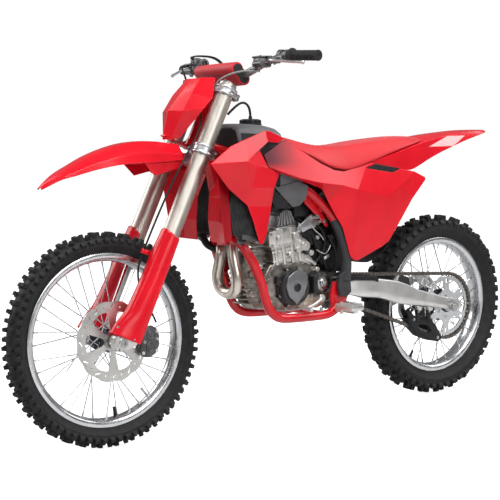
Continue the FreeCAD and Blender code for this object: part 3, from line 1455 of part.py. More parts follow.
def chain_guide(arm):
    """The slider on the arm and the guide that keeps the chain on the rear sprocket."""
    guide = [(214, 352), (182, 318), (154, 312), (96, 302), (34, 224), (46, 215), (99, 226), (158, 248), (194, 280), (222, 340)]
    outer = frame_plate(guide, 88, 92)
    inner = frame_plate(guide, 58, 62)
    bridge = frame_plate([(214, 352), (182, 318), (188, 312), (222, 340)], 62, 88)
    ears = [frame_plate([(x - 10, 300), (x + 10, 300), (x + 10, 372), (x - 10, 368)], 88, 99) for x in (112, 168)]
    low = frame_plate([(48, 217), (99, 226), (158, 248), (160, 241), (99, 219), (50, 210)], 58, 92)
    slider = frame_plate([(524, 487), (400, 479), (380, 476), (380, 468), (524, 479)], 64, 92)
    guide = fuse([outer, inner, bridge, low] + ears).cut(ground_shape(arm))
    guide = max(guide.Solids, key=lambda part: part.Volume)
    feature(Part.makeCompound([guide, slider.cut(ground_shape(arm))]), "chain_guide")


def foot_controls():
    """The foot pegs, the shift lever and the brake pedal."""
    solids = []
    for side in (1, -1):
        plate = frame_plate([(560, 402), (604, 402), (612, 388), (600, 372), (566, 370), (556, 386)],
                           side * 150, side * 214)
        arm = frame_plate([(570, 398), (594, 398), (594, 376), (570, 376)], side * 114.5, side * 152)
        solids.append(fuse([plate, arm]))
    shift = pipe([spot(650, 60, 424), spot(650, 108, 424), spot(690, 120, 410), spot(742, 126, 396)], 6, 6)
    toe = cylinder(spot(742, 118, 396), spot(742, 156, 396), 7, 8)
    solids.append(fuse([shift, toe]))
    brake = pipe([spot(584, -114.3, 402), spot(600, -130, 396), spot(618, -132, 376), spot(660, -132, 352), spot(740, -134, 366), spot(768, -136, 384)], 6, 6)
    foot = Part.makeBox(34, 30, 6, spot(752, -150, 386))
    solids.append(fuse([brake, foot]))
    feature(Part.makeCompound(solids), "foot_controls")


SPINE = frame_spine()
CRADLE = frame_cradle(SPINE)
frame_guards()
subframe(SPINE, CRADLE)
HEAD_PIECE = engine()
front_sprocket()
exhaust(HEAD_PIECE)
radiators(SPINE, CRADLE)
shrouds()
fuel_tank(SPINE)
seat()
side_panels()
rear_fender()
airbox()
ARM = swingarm()
rear_axle()
rear_caliper()
shock()
chain_guide(ARM)
foot_controls()


def finish():
    """Build everything, stop on any fault and write one file for each sub-part."""
    DOC.recompute()
    for thing in DOC.Objects:
        if "Invalid" in thing.State or "Error" in thing.State:
            raise RuntimeError("%s did not build: %s" % (thing.Name, thing.State))
    for thing in NODES:
        if thing.Shape.isNull() or not thing.Shape.isValid():
            raise RuntimeError("%s has no valid shape" % thing.Label)
    os.makedirs("parts", exist_ok=True)
    for thing in NODES:
        thing.Shape.exportStep("parts/%s.step" % thing.Label)


finish()
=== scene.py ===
"""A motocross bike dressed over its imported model, laid out as an add-on."""

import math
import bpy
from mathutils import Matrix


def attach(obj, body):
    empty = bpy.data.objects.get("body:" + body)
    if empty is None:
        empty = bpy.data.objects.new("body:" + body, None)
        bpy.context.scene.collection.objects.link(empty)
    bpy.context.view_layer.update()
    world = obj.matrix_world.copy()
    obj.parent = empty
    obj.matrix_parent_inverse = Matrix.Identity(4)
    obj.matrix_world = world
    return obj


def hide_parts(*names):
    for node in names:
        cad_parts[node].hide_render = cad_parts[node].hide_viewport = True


bl_info = {
    "name": "Motocross Bike",
    "version": (1, 0, 0),
    "blender": (4, 5, 0),
    "location": "3D View > Sidebar > Motocross",
    "description": "Builds the visible pieces, finishes, camera and stage of a motocross bike",
    "category": "Object",
}

import bmesh
import bpy
from bpy.props import FloatProperty, FloatVectorProperty, IntProperty, PointerProperty
from mathutils import Matrix, Vector

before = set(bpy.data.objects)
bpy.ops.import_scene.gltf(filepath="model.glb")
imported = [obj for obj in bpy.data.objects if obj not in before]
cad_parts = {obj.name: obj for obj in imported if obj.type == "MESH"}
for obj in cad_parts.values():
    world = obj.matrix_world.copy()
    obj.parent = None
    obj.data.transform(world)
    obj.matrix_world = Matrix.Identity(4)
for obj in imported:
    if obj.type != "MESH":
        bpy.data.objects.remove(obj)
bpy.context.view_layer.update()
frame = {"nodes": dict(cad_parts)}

# Drawing frames. Pieces are drawn in millimetres, x forward, y to the rider's left and z up,
# from the ground under the rear axle, and then carried to the rider's place in metres.
RIDER = Vector((575, 0, 949))
RAKE = math.radians(26.1)
REST_TURN = math.radians(-5.2)
FORK_UP = Vector((-math.sin(RAKE), 0, math.cos(RAKE)))
FORK_FORWARD = Vector((math.cos(RAKE), 0, math.sin(RAKE)))
FRONT_AXLE = Vector((1485, 0, 347))
REAR_AXLE = Vector((0, 0, 340))
CLAMP_OFFSET = 22
AXLE_LEAD = 55
STEERING_FOOT = FRONT_AXLE - FORK_FORWARD * AXLE_LEAD
TO_ROW = Matrix.Scale(0.001, 4) @ Matrix.Translation(-RIDER)
TURN = (
    Matrix.Translation(STEERING_FOOT)
    @ Matrix.Rotation(REST_TURN, 4, FORK_UP)
    @ Matrix.Translation(-STEERING_FOOT)
)
AT_FRONT_AXLE = TO_ROW @ TURN @ Matrix.Translation(FRONT_AXLE)
AT_REAR_AXLE = TO_ROW @ Matrix.Translation(REAR_AXLE)
FRAMES = {
    # drawing frame: body that its pieces ride on, place
    "ground": ("chassis", TO_ROW),
    "steered": ("steering", TO_ROW @ TURN),
    "fork": ("steering", TO_ROW @ TURN @ Matrix.Translation(STEERING_FOOT) @ Matrix.Rotation(-RAKE, 4, "Y")),
    "front_wheel": ("front_wheel", AT_FRONT_AXLE),
    "front_axle": ("steering", AT_FRONT_AXLE),
    "rear_wheel": ("rear_wheel", AT_REAR_AXLE),
    "rear_axle": ("chassis", AT_REAR_AXLE),
}
FINISHES = {}


def steer_point(forward, side, up):
    """A place given along the fork, in the straight-ahead ground frame."""
    return STEERING_FOOT + FORK_FORWARD * forward + Vector((0, side, 0)) + FORK_UP * up


def mirrored(points):
    """The same points on the other side of the bike."""
    return [Vector((p[0], -p[1], p[2])) for p in points]


# Forms.
def rod(bm, start, end, radius, end_radius=None, sides=20):
    """A round bar or cone between two points."""
    start = Vector(start)
    end = Vector(end)
    run = end - start
    place = Matrix.Translation((start + end) / 2) @ run.to_track_quat("Z", "Y").to_matrix().to_4x4()
    if end_radius is None:
        end_radius = radius
    bmesh.ops.create_cone(bm, cap_ends=True, segments=sides, radius1=radius, radius2=end_radius,
                          depth=run.length, matrix=place)


def cross_rod(bm, x, z, near, far, radius, end_radius=None, sides=20):
    """A round bar or cone across the bike, between two y values."""
    rod(bm, (x, near, z), (x, far, z), radius, end_radius, sides)


def block(bm, centre, size, matrix=None, bevel=0.0):
    """A box about its centre, its edges eased."""
    own = bmesh.new()
    bmesh.ops.create_cube(own, size=1.0)
    bmesh.ops.scale(own, vec=size, verts=own.verts)
    if bevel:
        bmesh.ops.bevel(own, geom=own.edges[:], offset=bevel, segments=2, profile=0.5, affect="EDGES",
                        material=-1)
    place = Matrix.Translation(centre)
    if matrix is not None:
        place = place @ matrix
    weld(bm, own, place)


def weld(bm, form, *places):
    """Moves a form into another, with a copy at each of the places, or as it lies."""
    mesh = bpy.data.meshes.new("copy")
    form.to_mesh(mesh)
    form.free()
    for place in places or [Matrix.Identity(4)]:
        mesh.transform(place)
        bm.from_mesh(mesh)
        mesh.transform(place.inverted())
    bpy.data.meshes.remove(mesh)


def turned(bm, profile, place=Matrix.Identity(4), sides=64, closed=False):
    """A form spun about its y axis from (radius, y) corners."""
    own = bmesh.new()
    corners = [own.verts.new((radius, along, 0)) for radius, along in profile]
    edges = [own.edges.new(pair) for pair in zip(corners, corners[1:])]
    if closed:
        edges.append(own.edges.new((corners[-1], corners[0])))
    bmesh.ops.spin(own, geom=corners + edges, cent=(0, 0, 0), axis=(0, 1, 0), angle=2 * math.pi,
                   steps=sides, use_merge=True)
    bmesh.ops.remove_doubles(own, verts=own.verts, dist=0.001)
    bmesh.ops.recalc_face_normals(own, faces=own.faces)
    weld(bm, own, place)


def along_y(x, z):
    """The place of a form spun about an axis across the bike."""
    return Matrix.Translation((x, 0, z))


def along_z(x, y):
    """The place of a form spun about an upright axis."""
    return Matrix.Translation((x, y, 0)) @ Matrix.Rotation(math.radians(90), 4, "X")


def flat_face(bm, loops, drop=0.0):
    """Fills the area between closed (x, z) loops at one y."""
    edges = []
    for loop in loops:
        corners = [bm.verts.new((x, drop, z)) for x, z in loop]
        edges += [bm.edges.new((a, b)) for a, b in zip(corners, corners[1:] + corners[:1])]
    bmesh.ops.triangle_fill(bm, use_beauty=True, use_dissolve=False, edges=edges, normal=(0, 1, 0))


def plate(bm, loops, near, far, bevel=0.0, place=Matrix.Identity(4), steps=2):
    """A plate cut to an (x, z) outline, with any holes, between two y values."""
    if not isinstance(loops[0][0], (tuple, list)):
        loops = [loops]
    own = bmesh.new()
    if len(loops) == 1:
        own.faces.new([own.verts.new((x, near, z)) for x, z in loops[0]])
    else:
        flat_face(own, loops, near)
        bmesh.ops.dissolve_limit(own, angle_limit=0.01, verts=own.verts, edges=own.edges)
    made = bmesh.ops.extrude_face_region(own, geom=own.faces[:])
    raised = [item for item in made["geom"] if isinstance(item, bmesh.types.BMVert)]
    bmesh.ops.translate(own, vec=(0, far - near, 0), verts=raised)
    bmesh.ops.recalc_face_normals(own, faces=own.faces)
    if bevel:
        rims = [edge for edge in own.edges if len(edge.link_faces) == 2
                and abs(edge.verts[0].co.y - edge.verts[1].co.y) < 0.001 and edge.calc_face_angle(0) > 0.5]
        bmesh.ops.bevel(own, geom=rims, offset=bevel, segments=steps, profile=0.5, affect="EDGES",
                        material=-1)
    weld(bm, own, place)


def loft(bm, rings):
    """A closed skin over rings of the same number of points."""
    own = bmesh.new()
    loops = []
    for ring in rings:
        corners = [own.verts.new(point) for point in ring]
        loops.append([own.edges.new((a, b)) for a, b in zip(corners, corners[1:] + corners[:1])])
    for loop in (loops[0], loops[-1]):
        bmesh.ops.edgeloop_fill(own, edges=loop)
    for low, high in zip(loops, loops[1:]):
        bmesh.ops.bridge_loops(own, edges=low + high)
    bmesh.ops.recalc_face_normals(own, faces=own.faces)
    weld(bm, own)


def shell(bm, rows, wall):
    """An open sheet over rows of points, given a wall towards its back."""
    own = bmesh.new()
    across = len(rows[0])
    bmesh.ops.create_grid(own, x_segments=across - 1, y_segments=len(rows) - 1, size=1.0)
    own.verts.ensure_lookup_table()
    places = [point for row in rows for point in row]
    for corner, place in zip(own.verts, places):
        corner.co = place
    bmesh.ops.recalc_face_normals(own, faces=own.faces)
    bmesh.ops.solidify(own, geom=own.faces[:] + own.edges[:] + own.verts[:], thickness=wall)
    weld(bm, own)


def tube(bm, points, radius, sides=16, swell=None, steps=8):
    """A bent tube along points, its bends rounded."""
    curve = bpy.data.curves.new("route", "CURVE")
    curve.dimensions = "3D"
    spline = curve.splines.new("NURBS")
    spline.points.add(len(points) - 1)
    for i, (corner, place) in enumerate(zip(spline.points, points)):
        corner.co = (*place, 1)
        corner.radius = swell[i] if swell else 1.0
    spline.order_u = 3
    spline.use_endpoint_u = True
    curve.resolution_u = steps
    curve.bevel_depth = radius
    curve.bevel_resolution = max(0, sides // 4 - 1)
    curve.use_fill_caps = True
    holder = bpy.data.objects.new("route", curve)
    mesh = bpy.data.meshes.new_from_object(holder)
    own = bmesh.new()
    own.from_mesh(mesh)
    bmesh.ops.remove_doubles(own, verts=own.verts, dist=0.001)
    bmesh.ops.recalc_face_normals(own, faces=own.faces)
    weld(bm, own)
    bpy.data.objects.remove(holder)
    bpy.data.meshes.remove(mesh)
    bpy.data.curves.remove(curve)


def bolt(bm, place, toward, radius=5.0, height=4.0):
    """A flanged hexagon bolt head standing on a surface."""
    place = Vector(place)
    toward = Vector(toward).normalized()
    rod(bm, place, place + toward * height * 0.35, radius * 1.35, sides=16)
    rod(bm, place + toward * height * 0.35, place + toward * height, radius, radius * 0.93, sides=6)


def round_places(count, axis="Y", start=0.0):
    """The places of a pattern round an axis."""
    return [Matrix.Rotation(start + 2 * math.pi * i / count, 4, axis) for i in range(count)]


def circle(radius, count, centre=(0, 0), start=0.0):
    """Points round a circle in side view."""
    return [
        (centre[0] + radius * math.cos(start + 2 * math.pi * i / count),
         centre[1] + radius * math.sin(start + 2 * math.pi * i / count))
        for i in range(count)
    ]


def piece(name, bm, finishes, drawn, stands_for=(), ease=0.0, subdivide=0, angle=35.0):
    """Turns a form into a finished object of the bike, riding on its drawing frame's body."""
    body, place = FRAMES[drawn]
    bmesh.ops.transform(bm, matrix=place, verts=bm.verts)
    mesh = bpy.data.meshes.new(name)
    bm.to_mesh(mesh)
    bm.free()
    if not isinstance(finishes, (list, tuple)):
        finishes = [finishes]
    for finish in finishes:
        mesh.materials.append(FINISHES[finish])
    mesh.polygons.foreach_set("use_smooth", [True] * len(mesh.polygons))
    if not subdivide:
        mesh.set_sharp_from_angle(angle=math.radians(angle))
    thing = bpy.data.objects.new(name, mesh)
    bpy.context.scene.collection.objects.link(thing)
    if ease:
        bevel = thing.modifiers.new("Eased edges", "BEVEL")
        bevel.width = ease / 1000
        bevel.segments = 2
        bevel.limit_method = "ANGLE"
        bevel.angle_limit = math.radians(angle)
        bevel.harden_normals = False
    if subdivide:
        smooth = thing.modifiers.new("Smooth surface", "SUBSURF")
        smooth.levels = subdivide
        smooth.render_levels = subdivide
    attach(thing, body)
    if stands_for:
        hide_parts(*stands_for)
    return thing


def paint(bm, index, test):
    """Gives the faces whose middle passes a test another finish."""
    for face in bm.faces:
        if test(face.calc_center_median(), face):
            face.material_index = index


def between(stations, steps):
    """More stations along a smooth line through the given ones."""
    made = []
    last = len(stations) - 1
    for i in range(last):
        near = [stations[max(0, min(last, i + shift))] for shift in (-1, 0, 1, 2)]
        for step in range(steps):
            t = step / steps
            made.append(tuple(
                q + 0.5 * t * (r - p + t * (2 * p - 5 * q + 4 * r - s + t * (3 * (q - r) + s - p)))
                for p, q, r, s in zip(*near)))
    made.append(tuple(stations[-1]))
    return made


def panel(bm, corners, facets, wall, mirror=True):
    """A moulded panel of flat facets between named corners, on one side or on both."""
    own = bmesh.new()
    made = {name: own.verts.new(place) for name, place in corners.items()}
    for facet in facets:
        own.faces.new([made[name] for name in facet.split()])
    bmesh.ops.recalc_face_normals(own, faces=own.faces)
    outward = sum(face.normal.y * face.calc_area() for face in own.faces)
    if outward < 0:
        bmesh.ops.reverse_faces(own, faces=own.faces)
    bmesh.ops.solidify(own, geom=own.faces[:] + own.edges[:] + own.verts[:], thickness=wall)
    bmesh.ops.recalc_face_normals(own, faces=own.faces)
    if mirror:
        both_sides(bm, own)
    else:
        weld(bm, own)


def turned_over(form):
    """The mirror image of a form, for the other side of the bike."""
    other = form.copy()
    bmesh.ops.scale(other, vec=(1, -1, 1), verts=other.verts)
    bmesh.ops.reverse_faces(other, faces=other.faces)
    return other


def both_sides(bm, own):
    """The same form on each side of the bike."""
    other = turned_over(own)
    weld(bm, own)
    weld(bm, other)


# Finishes.
def node(tree, kind, values=None, links=None):
    """A new shader node, its inputs set to values or linked from other nodes' outputs."""
    made = tree.nodes.new("ShaderNode" + kind)
    for name, value in (values or {}).items():
        made.inputs[name].default_value = value
    for name, output in (links or {}).items():
        tree.links.new(output, made.inputs[name])
    return made


def washed(tree, where, shade, wash, spans):
    """Mixes a second colour in where every (direction, start, stop) ramp is up."""
    cover = None
    for direction, start, stop in spans:
        along = node(tree, "VectorMath", {1: direction}, {0: where})
        along.operation = "DOT_PRODUCT"
        ramp = node(tree, "MapRange", {"From Min": start, "From Max": stop},
                    {"Value": along.outputs["Value"]})
        ramp.interpolation_type = "SMOOTHSTEP"
        if cover is None:
            cover = ramp.outputs["Result"]
        else:
            product = node(tree, "Math", {}, {0: cover, 1: ramp.outputs["Result"]})
            product.operation = "MULTIPLY"
            cover = product.outputs["Value"]
    return node(tree, "MixRGB", {"Color2": (*wash, 1)}, {"Fac": cover, "Color1": shade}).outputs["Color"]


def plain_material(name, **inputs):
    """A new material and its principled shader, with some of the shader's inputs set."""
    made = bpy.data.materials.new(name)
    made.use_nodes = True
    shader = made.node_tree.nodes["Principled BSDF"]
    for key, value in inputs.items():
        shader.inputs[key.replace("_", " ")].default_value = value
    return made, made.node_tree, shader


def surface(name, colour, roughness, metallic=0.0, tone=None, patch=30.0, stretch=(1, 1, 1), rub=0.06,
            grain=0.0, grain_size=900.0, coat=0.0, sheen=0.0, turn=(0, 0, 0), fades=()):
    """A procedural finish: two close tones in patches, uneven gloss and a fine grain."""
    made, tree, shader = plain_material(name, Metallic=metallic, Coat_Weight=coat, Coat_Roughness=0.1,
                                        Specular_IOR_Level=0.5 if metallic else 0.24, Sheen_Weight=sheen)
    where = node(tree, "TexCoord").outputs["Object"]
    place = node(tree, "Mapping", {"Scale": stretch, "Rotation": turn}, {"Vector": where}).outputs["Vector"]
    cloud = node(tree, "TexNoise", {"Scale": patch, "Detail": 5.0}, {"Vector": place}).outputs["Fac"]
    if tone is None:
        tone = tuple(value * 0.86 for value in colour)
    blend = node(tree, "ValToRGB", {}, {"Fac": cloud})
    for end, position, tint in zip(blend.color_ramp.elements, (0.35, 0.65), (tone, colour)):
        end.position = position
        end.color = (*tint, 1)
    shade = blend.outputs["Color"]
    for wash, spans in fades:
        shade = washed(tree, where, shade, wash, spans)
    tree.links.new(shade, shader.inputs["Base Color"])
    gloss = {"From Min": 0.3, "From Max": 0.7, "To Min": max(0.02, roughness - rub),
             "To Max": min(1.0, roughness + rub)}
    tree.links.new(node(tree, "MapRange", gloss, {"Value": cloud}).outputs["Result"],
                   shader.inputs["Roughness"])
    if grain:
        fine = node(tree, "TexNoise", {"Scale": grain_size, "Detail": 3.0}, {"Vector": place})
        bump = node(tree, "Bump", {"Strength": grain, "Distance": 0.0005}, {"Height": fine.outputs["Fac"]})
        tree.links.new(bump.outputs["Normal"], shader.inputs["Normal"])
    FINISHES[name] = made


def make_finishes(colours):
    """Every finish that the bike uses."""
    red = tuple(colours.bodywork)
    frame_red = tuple(colours.frame)
    deep_red = tuple(value * 0.82 for value in red)
    # A maroon wash that darkens the side panels' upper front, beneath the shroud and tank: painted shade.
    maroon_painted_shade = ((0.1, 0.004, 0.014), [((1, 0, 0), 0.14, 0.33), ((0, 0, 1), -0.085, -0.04)])
    flash = ((0.9, 0.5, 0.5), [((0.318, 0, 1), -0.154, -0.158), ((0.446, 0, 1), -0.28, -0.276),
                               ((0, 0, 1), -0.011, -0.007), ((0, 0, 1), 0.03, 0.026)])
    # The last red here is the bodywork red at 0.45 of its tone, a darker copy of the same plastic: painted
    # shade.
    for name, tint, fades in (("plastic_red", 1.0, []), ("panel_graded", 1.0, [maroon_painted_shade]),
                              ("tail_red", 1.0, [flash]), ("red_painted_shade", 0.45, [])):
        surface(name, tuple(v * tint for v in red), 0.24, tone=tuple(v * tint for v in deep_red), patch=6,
                rub=0.03, grain=0.04, grain_size=1500, coat=0.15, fades=fades)
    surface("frame_red", frame_red, 0.2, tone=tuple(v * 0.85 for v in frame_red), patch=12, coat=0.5,
            grain=0.04)
    surface("plastic_black", (0.018, 0.018, 0.02), 0.42, tone=(0.012, 0.012, 0.013), patch=20, grain=0.12)
    surface("guard_black", (0.05, 0.05, 0.055), 0.5, tone=(0.035, 0.035, 0.038), patch=14, grain=0.25,
            grain_size=700)
    surface("tank_grey", (0.16, 0.16, 0.17), 0.34, tone=(0.12, 0.12, 0.13), patch=9, grain=0.05)
    surface("tyre_rubber", (0.022, 0.022, 0.023), 0.62, tone=(0.012, 0.012, 0.013), patch=45, grain=0.35,
            grain_size=520)
    surface("grip_rubber", (0.02, 0.02, 0.021), 0.66, patch=40, grain=0.3)
    surface("hose_rubber", (0.014, 0.014, 0.015), 0.42, patch=60, grain=0.1)
    surface("hose_grey", (0.32, 0.31, 0.3), 0.4, patch=60, grain=0.1)
    surface("foam_black", (0.025, 0.025, 0.027), 0.85, patch=80, grain=0.6, grain_size=420)
    surface("pad_red", (0.55, 0.02, 0.03), 0.5, patch=25, grain=0.3, grain_size=1100, sheen=0.1)
    surface("rim_silver", (0.74, 0.75, 0.77), 0.24, 1.0, tone=(0.64, 0.65, 0.67), patch=30, grain=0.05)
    surface("spoke_steel", (0.66, 0.67, 0.69), 0.22, 1.0, patch=60)
    surface("hub_black", (0.045, 0.045, 0.05), 0.38, 0.6, tone=(0.03, 0.03, 0.034), patch=25, grain=0.12)
    surface("disc_steel", (0.72, 0.71, 0.69), 0.3, 1.0, tone=(0.6, 0.59, 0.57), patch=18, grain=0.12)
    surface("clamp_silver", (0.58, 0.58, 0.59), 0.3, 1.0, tone=(0.48, 0.48, 0.5), patch=22, grain=0.15)
    surface("fork_silver", (0.56, 0.52, 0.47), 0.42, 1.0, tone=(0.48, 0.445, 0.4), patch=14,
            stretch=(3, 3, 0.35), turn=(0, RAKE, 0), grain=0.12)
    surface("cast_silver", (0.78, 0.77, 0.75), 0.36, 0.85, tone=(0.68, 0.67, 0.65), patch=24, grain=0.3,
            grain_size=650)
    surface("bar_grey", (0.3, 0.3, 0.31), 0.33, 0.9, tone=(0.24, 0.24, 0.25), patch=20, grain=0.1)
    surface("dark_metal", (0.14, 0.14, 0.145), 0.36, 0.8, tone=(0.08, 0.08, 0.085), patch=30, grain=0.15)
    surface("engine_silver", (0.8, 0.78, 0.75), 0.32, 0.85, tone=(0.6, 0.58, 0.55), patch=34, grain=0.4,
            grain_size=500)
    surface("engine_bronze", (0.46, 0.42, 0.37), 0.34, 0.85, tone=(0.17, 0.155, 0.14), patch=40, grain=0.4,
            grain_size=500)
    surface("engine_pale", (0.72, 0.66, 0.55), 0.34, 0.7, tone=(0.4, 0.35, 0.28), patch=40, grain=0.3)
    surface("engine_dark", (0.03, 0.03, 0.031), 0.32, 0.3, tone=(0.02, 0.02, 0.021), patch=20, grain=0.25,
            grain_size=700)
    surface("shield_grey", (0.24, 0.24, 0.25), 0.28, 0.5, tone=(0.19, 0.19, 0.2), patch=16, grain=0.15)
    surface("head_grey", (0.36, 0.36, 0.37), 0.34, 0.6, tone=(0.26, 0.26, 0.27), patch=20, grain=0.25)
    surface("knee_grey", (0.13, 0.13, 0.135), 0.36, tone=(0.1, 0.1, 0.105), patch=14, grain=0.1)
    surface("header_steel", (0.72, 0.67, 0.6), 0.3, 1.0, tone=(0.6, 0.53, 0.45), patch=9, rub=0.05,
            grain=0.08)
    surface("silencer_metal", (0.5, 0.5, 0.5), 0.32, 1.0, tone=(0.42, 0.42, 0.42), patch=16,
            stretch=(0.4, 3, 3), grain=0.1)
    surface("chain_steel", (0.2, 0.18, 0.16), 0.36, 0.9, tone=(0.12, 0.11, 0.1), patch=120, grain=0.2)
    surface("bolt_steel", (0.55, 0.55, 0.55), 0.26, 1.0, patch=60)
    surface("spring_metal", (0.5, 0.5, 0.5), 0.3, 0.9, patch=30)
    surface("seat_red", (0.62, 0.02, 0.028), 0.48, tone=(0.55, 0.017, 0.024), patch=7, grain=0.35,
            grain_size=1300, sheen=0.15)
    surface("fin_black", (0.03, 0.03, 0.032), 0.45, 0.4, patch=50, grain=0.2)


# Settings that a user would change.
class BikeColours(bpy.types.PropertyGroup):
    """Colours of the bike's larger surfaces."""

    bodywork: FloatVectorProperty(
        name="Bodywork", description="Colour of the red plastic", default=(0.72, 0.006, 0.018),
        size=3, min=0.0, max=1.0, subtype="COLOR")
    frame: FloatVectorProperty(
        name="Frame", description="Colour of the painted steel tubes", default=(0.64, 0.008, 0.016),
        size=3, min=0.0, max=1.0, subtype="COLOR")
    floor: FloatVectorProperty(
        name="Floor", description="Colour of the floor", default=(0.66, 0.66, 0.66),
        size=3, min=0.0, max=1.0, subtype="COLOR")


class BikeSizes(bpy.types.PropertyGroup):
    """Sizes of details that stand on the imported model."""

    front_rows: IntProperty(
        name="Front tread rows", description="Rows of blocks round the front tyre",
        default=72, min=24, max=120)
    rear_rows: IntProperty(
        name="Rear tread rows", description="Rows of blocks round the rear tyre",
        default=52, min=20, max=100)
    spokes: IntProperty(
        name="Spokes", description="Spokes in each wheel", default=36, min=12, max=48)
    spoke_radius: FloatProperty(
        name="Spoke radius", description="Radius of a spoke", default=0.0019, min=0.001, max=0.004,
        unit="LENGTH", subtype="DISTANCE")
    links: IntProperty(
        name="Chain links", description="Links in the closed chain", default=114, min=80, max=140)


class StageSettings(bpy.types.PropertyGroup):
    """The camera and the light round the bike."""

    lens: FloatProperty(
        name="Lens", description="Focal length on a 36 mm sensor", default=108.5, min=20.0, max=300.0)
    key_light: FloatProperty(
        name="Key light", description="Power of the overhead lamp, which the others follow",
        default=250.0, min=0.0, unit="POWER")


def colours():
    return bpy.context.scene.bike_colours


def sizes():
    return bpy.context.scene.bike_sizes


class BIKE_OT_finishes(bpy.types.Operator):
    """Make the finishes that the pieces wear"""

    bl_idname = "bike.finishes"
    bl_label = "Finishes"

    def execute(self, context):
        make_finishes(colours())
        return {"FINISHED"}


# Wheels.
CHAIN_PITCH = 15.875
CHAIN_Y = 75
DRIVE_TEETH = 13
REAR_TEETH = 48
BLOCK_ROOT = 6
BLOCK_EASE = 1.6


def tread_block(length, width, height):
    """One block of the tread, a little smaller at its top, with its root in the carcass."""
    made = bmesh.new()
    bmesh.ops.create_cube(made, size=1.0)
    bmesh.ops.scale(made, vec=(length, width, height + BLOCK_ROOT), verts=made.verts)
    bmesh.ops.translate(made, vec=(0, 0, (height - BLOCK_ROOT) / 2), verts=made.verts)
    top = [corner for corner in made.verts if corner.co.z > 0]
    bmesh.ops.scale(made, vec=(0.84, 0.86, 1), verts=top)
    edges = [edge for edge in made.edges if max(end.co.z for end in edge.verts) > 0]
    bmesh.ops.bevel(made, geom=edges, offset=BLOCK_EASE, segments=1, profile=0.5, affect="EDGES", material=-1)
    return made


def tread_places(rows, step, start, radius, y, tilt):
    """Places round the wheel at a radius and a y, tilted outwards."""
    places = []
    for row in range(start, rows, step):
        turn = Matrix.Rotation(2 * math.pi * row / rows, 4, "Y")
        places.append(turn @ Matrix.Translation((0, y, radius)) @ Matrix.Rotation(-tilt, 4, "X"))
    return places


def knobby_tyre(bm, rim_radius, bead, half, crown, rows, blocks):
    """A carcass turned from its section, with rows of tread blocks standing on it."""
    wall = [(rim_radius - 6, bead - 7), (rim_radius - 1, bead - 3), (rim_radius + 4, bead + 1),
            (rim_radius + 12, bead + 6), (rim_radius + (crown - rim_radius) * 0.42, half - 6),
            (rim_radius + (crown - rim_radius) * 0.62, half - 5), (crown - 17, half - 9),
            (crown - 9, half - 16), (crown - 3, half * 0.48), (crown, half * 0.2)]
    section = wall + [(radius, -y) for radius, y in reversed(wall)]
    turned(bm, section, sides=120, closed=True)
    for length, width, height, radius, y, tilt, step, start in blocks:
        places = []
        for side in (1, -1):
            places += tread_places(rows, step, start, radius, side * y, side * math.radians(tilt))
        weld(bm, tread_block(length, width, height), *places)


def wheel_rim(bm, radius, half):
    """A rim with rolled flanges, a flat side and a crowned spoke bed."""
    outer = [(radius - 15, half - 0.5), (radius - 19, half - 2.5), (radius - 24, half - 11),
             (radius - 27.5, 9), (radius - 28, 0)]
    inner = [(radius - 19, 0), (radius - 18.5, 7), (radius - 13, half - 9), (radius - 7, half - 6.5),
             (radius - 2.5, half - 5.5), (radius - 0.6, half - 3.5), (radius - 0.4, half - 1.0),
             (radius - 2, half)]
    loop = outer[:-1] + [(r, -y) for r, y in reversed(outer)]
    loop += [(r, -y) for r, y in reversed(inner)][:-1] + inner
    turned(bm, loop, sides=144, closed=True)


def laced_spokes(bm, count, rim_reach, flange, flange_y, radius):
    """Crossing spokes from both flanges to the rim, each with its head and nipple."""
    for i in range(count):
        side = 1 if i % 2 else -1
        lean = 1 if i % 4 < 2 else -1
        end = 2 * math.pi * i / count
        start = end + lean * math.radians(56)
        y = side * (flange_y + lean * 2.2)
        foot = Vector((flange * math.cos(start), y, flange * math.sin(start)))
        tip = Vector((rim_reach * math.cos(end), side * 5, rim_reach * math.sin(end)))
        run = (tip - foot).normalized()
        rod(bm, foot - run * 4, tip, radius, sides=8)
        rod(bm, tip - run * 17, tip - run * 1, 2.5, 3.3, sides=8)
        bmesh.ops.create_icosphere(bm, subdivisions=1, radius=3.2, matrix=Matrix.Translation(foot - run * 4))


def wave(radius, depth, waves, count):
    """A wavy circle in side view."""
    points = []
    for i in range(count):
        angle = 2 * math.pi * i / count
        reach = radius - depth * (0.5 + 0.5 * math.cos(waves * angle)) ** 1.5
        points.append((reach * math.cos(angle), reach * math.sin(angle)))
    return points


def rounded_loop(corners, ease, steps=4):
    """A closed (x, z) loop with its corners rounded."""
    made = []
    count = len(corners)
    for i in range(count):
        before = Vector(corners[i - 1])
        here = Vector(corners[i])
        after = Vector(corners[(i + 1) % count])
        near = min(ease, (before - here).length * 0.45, (after - here).length * 0.45)
        start = here + (before - here).normalized() * near
        end = here + (after - here).normalized() * near
        for k in range(steps + 1):
            share = k / steps
            point = start * (1 - share) ** 2 + here * (2 * share * (1 - share)) + end * share ** 2
            made.append((point.x, point.y))
    return made


def spun_loops(loop, count):
    """A loop repeated round the origin of the side view."""
    made = []
    for i in range(count):
        turn = Matrix.Rotation(2 * math.pi * i / count, 2)
        made.append([tuple(turn @ Vector(point)) for point in loop])
    return made


def polar(radius, degrees):
    """An (x, z) place from a radius and an angle."""
    return radius * math.cos(math.radians(degrees)), radius * math.sin(math.radians(degrees))


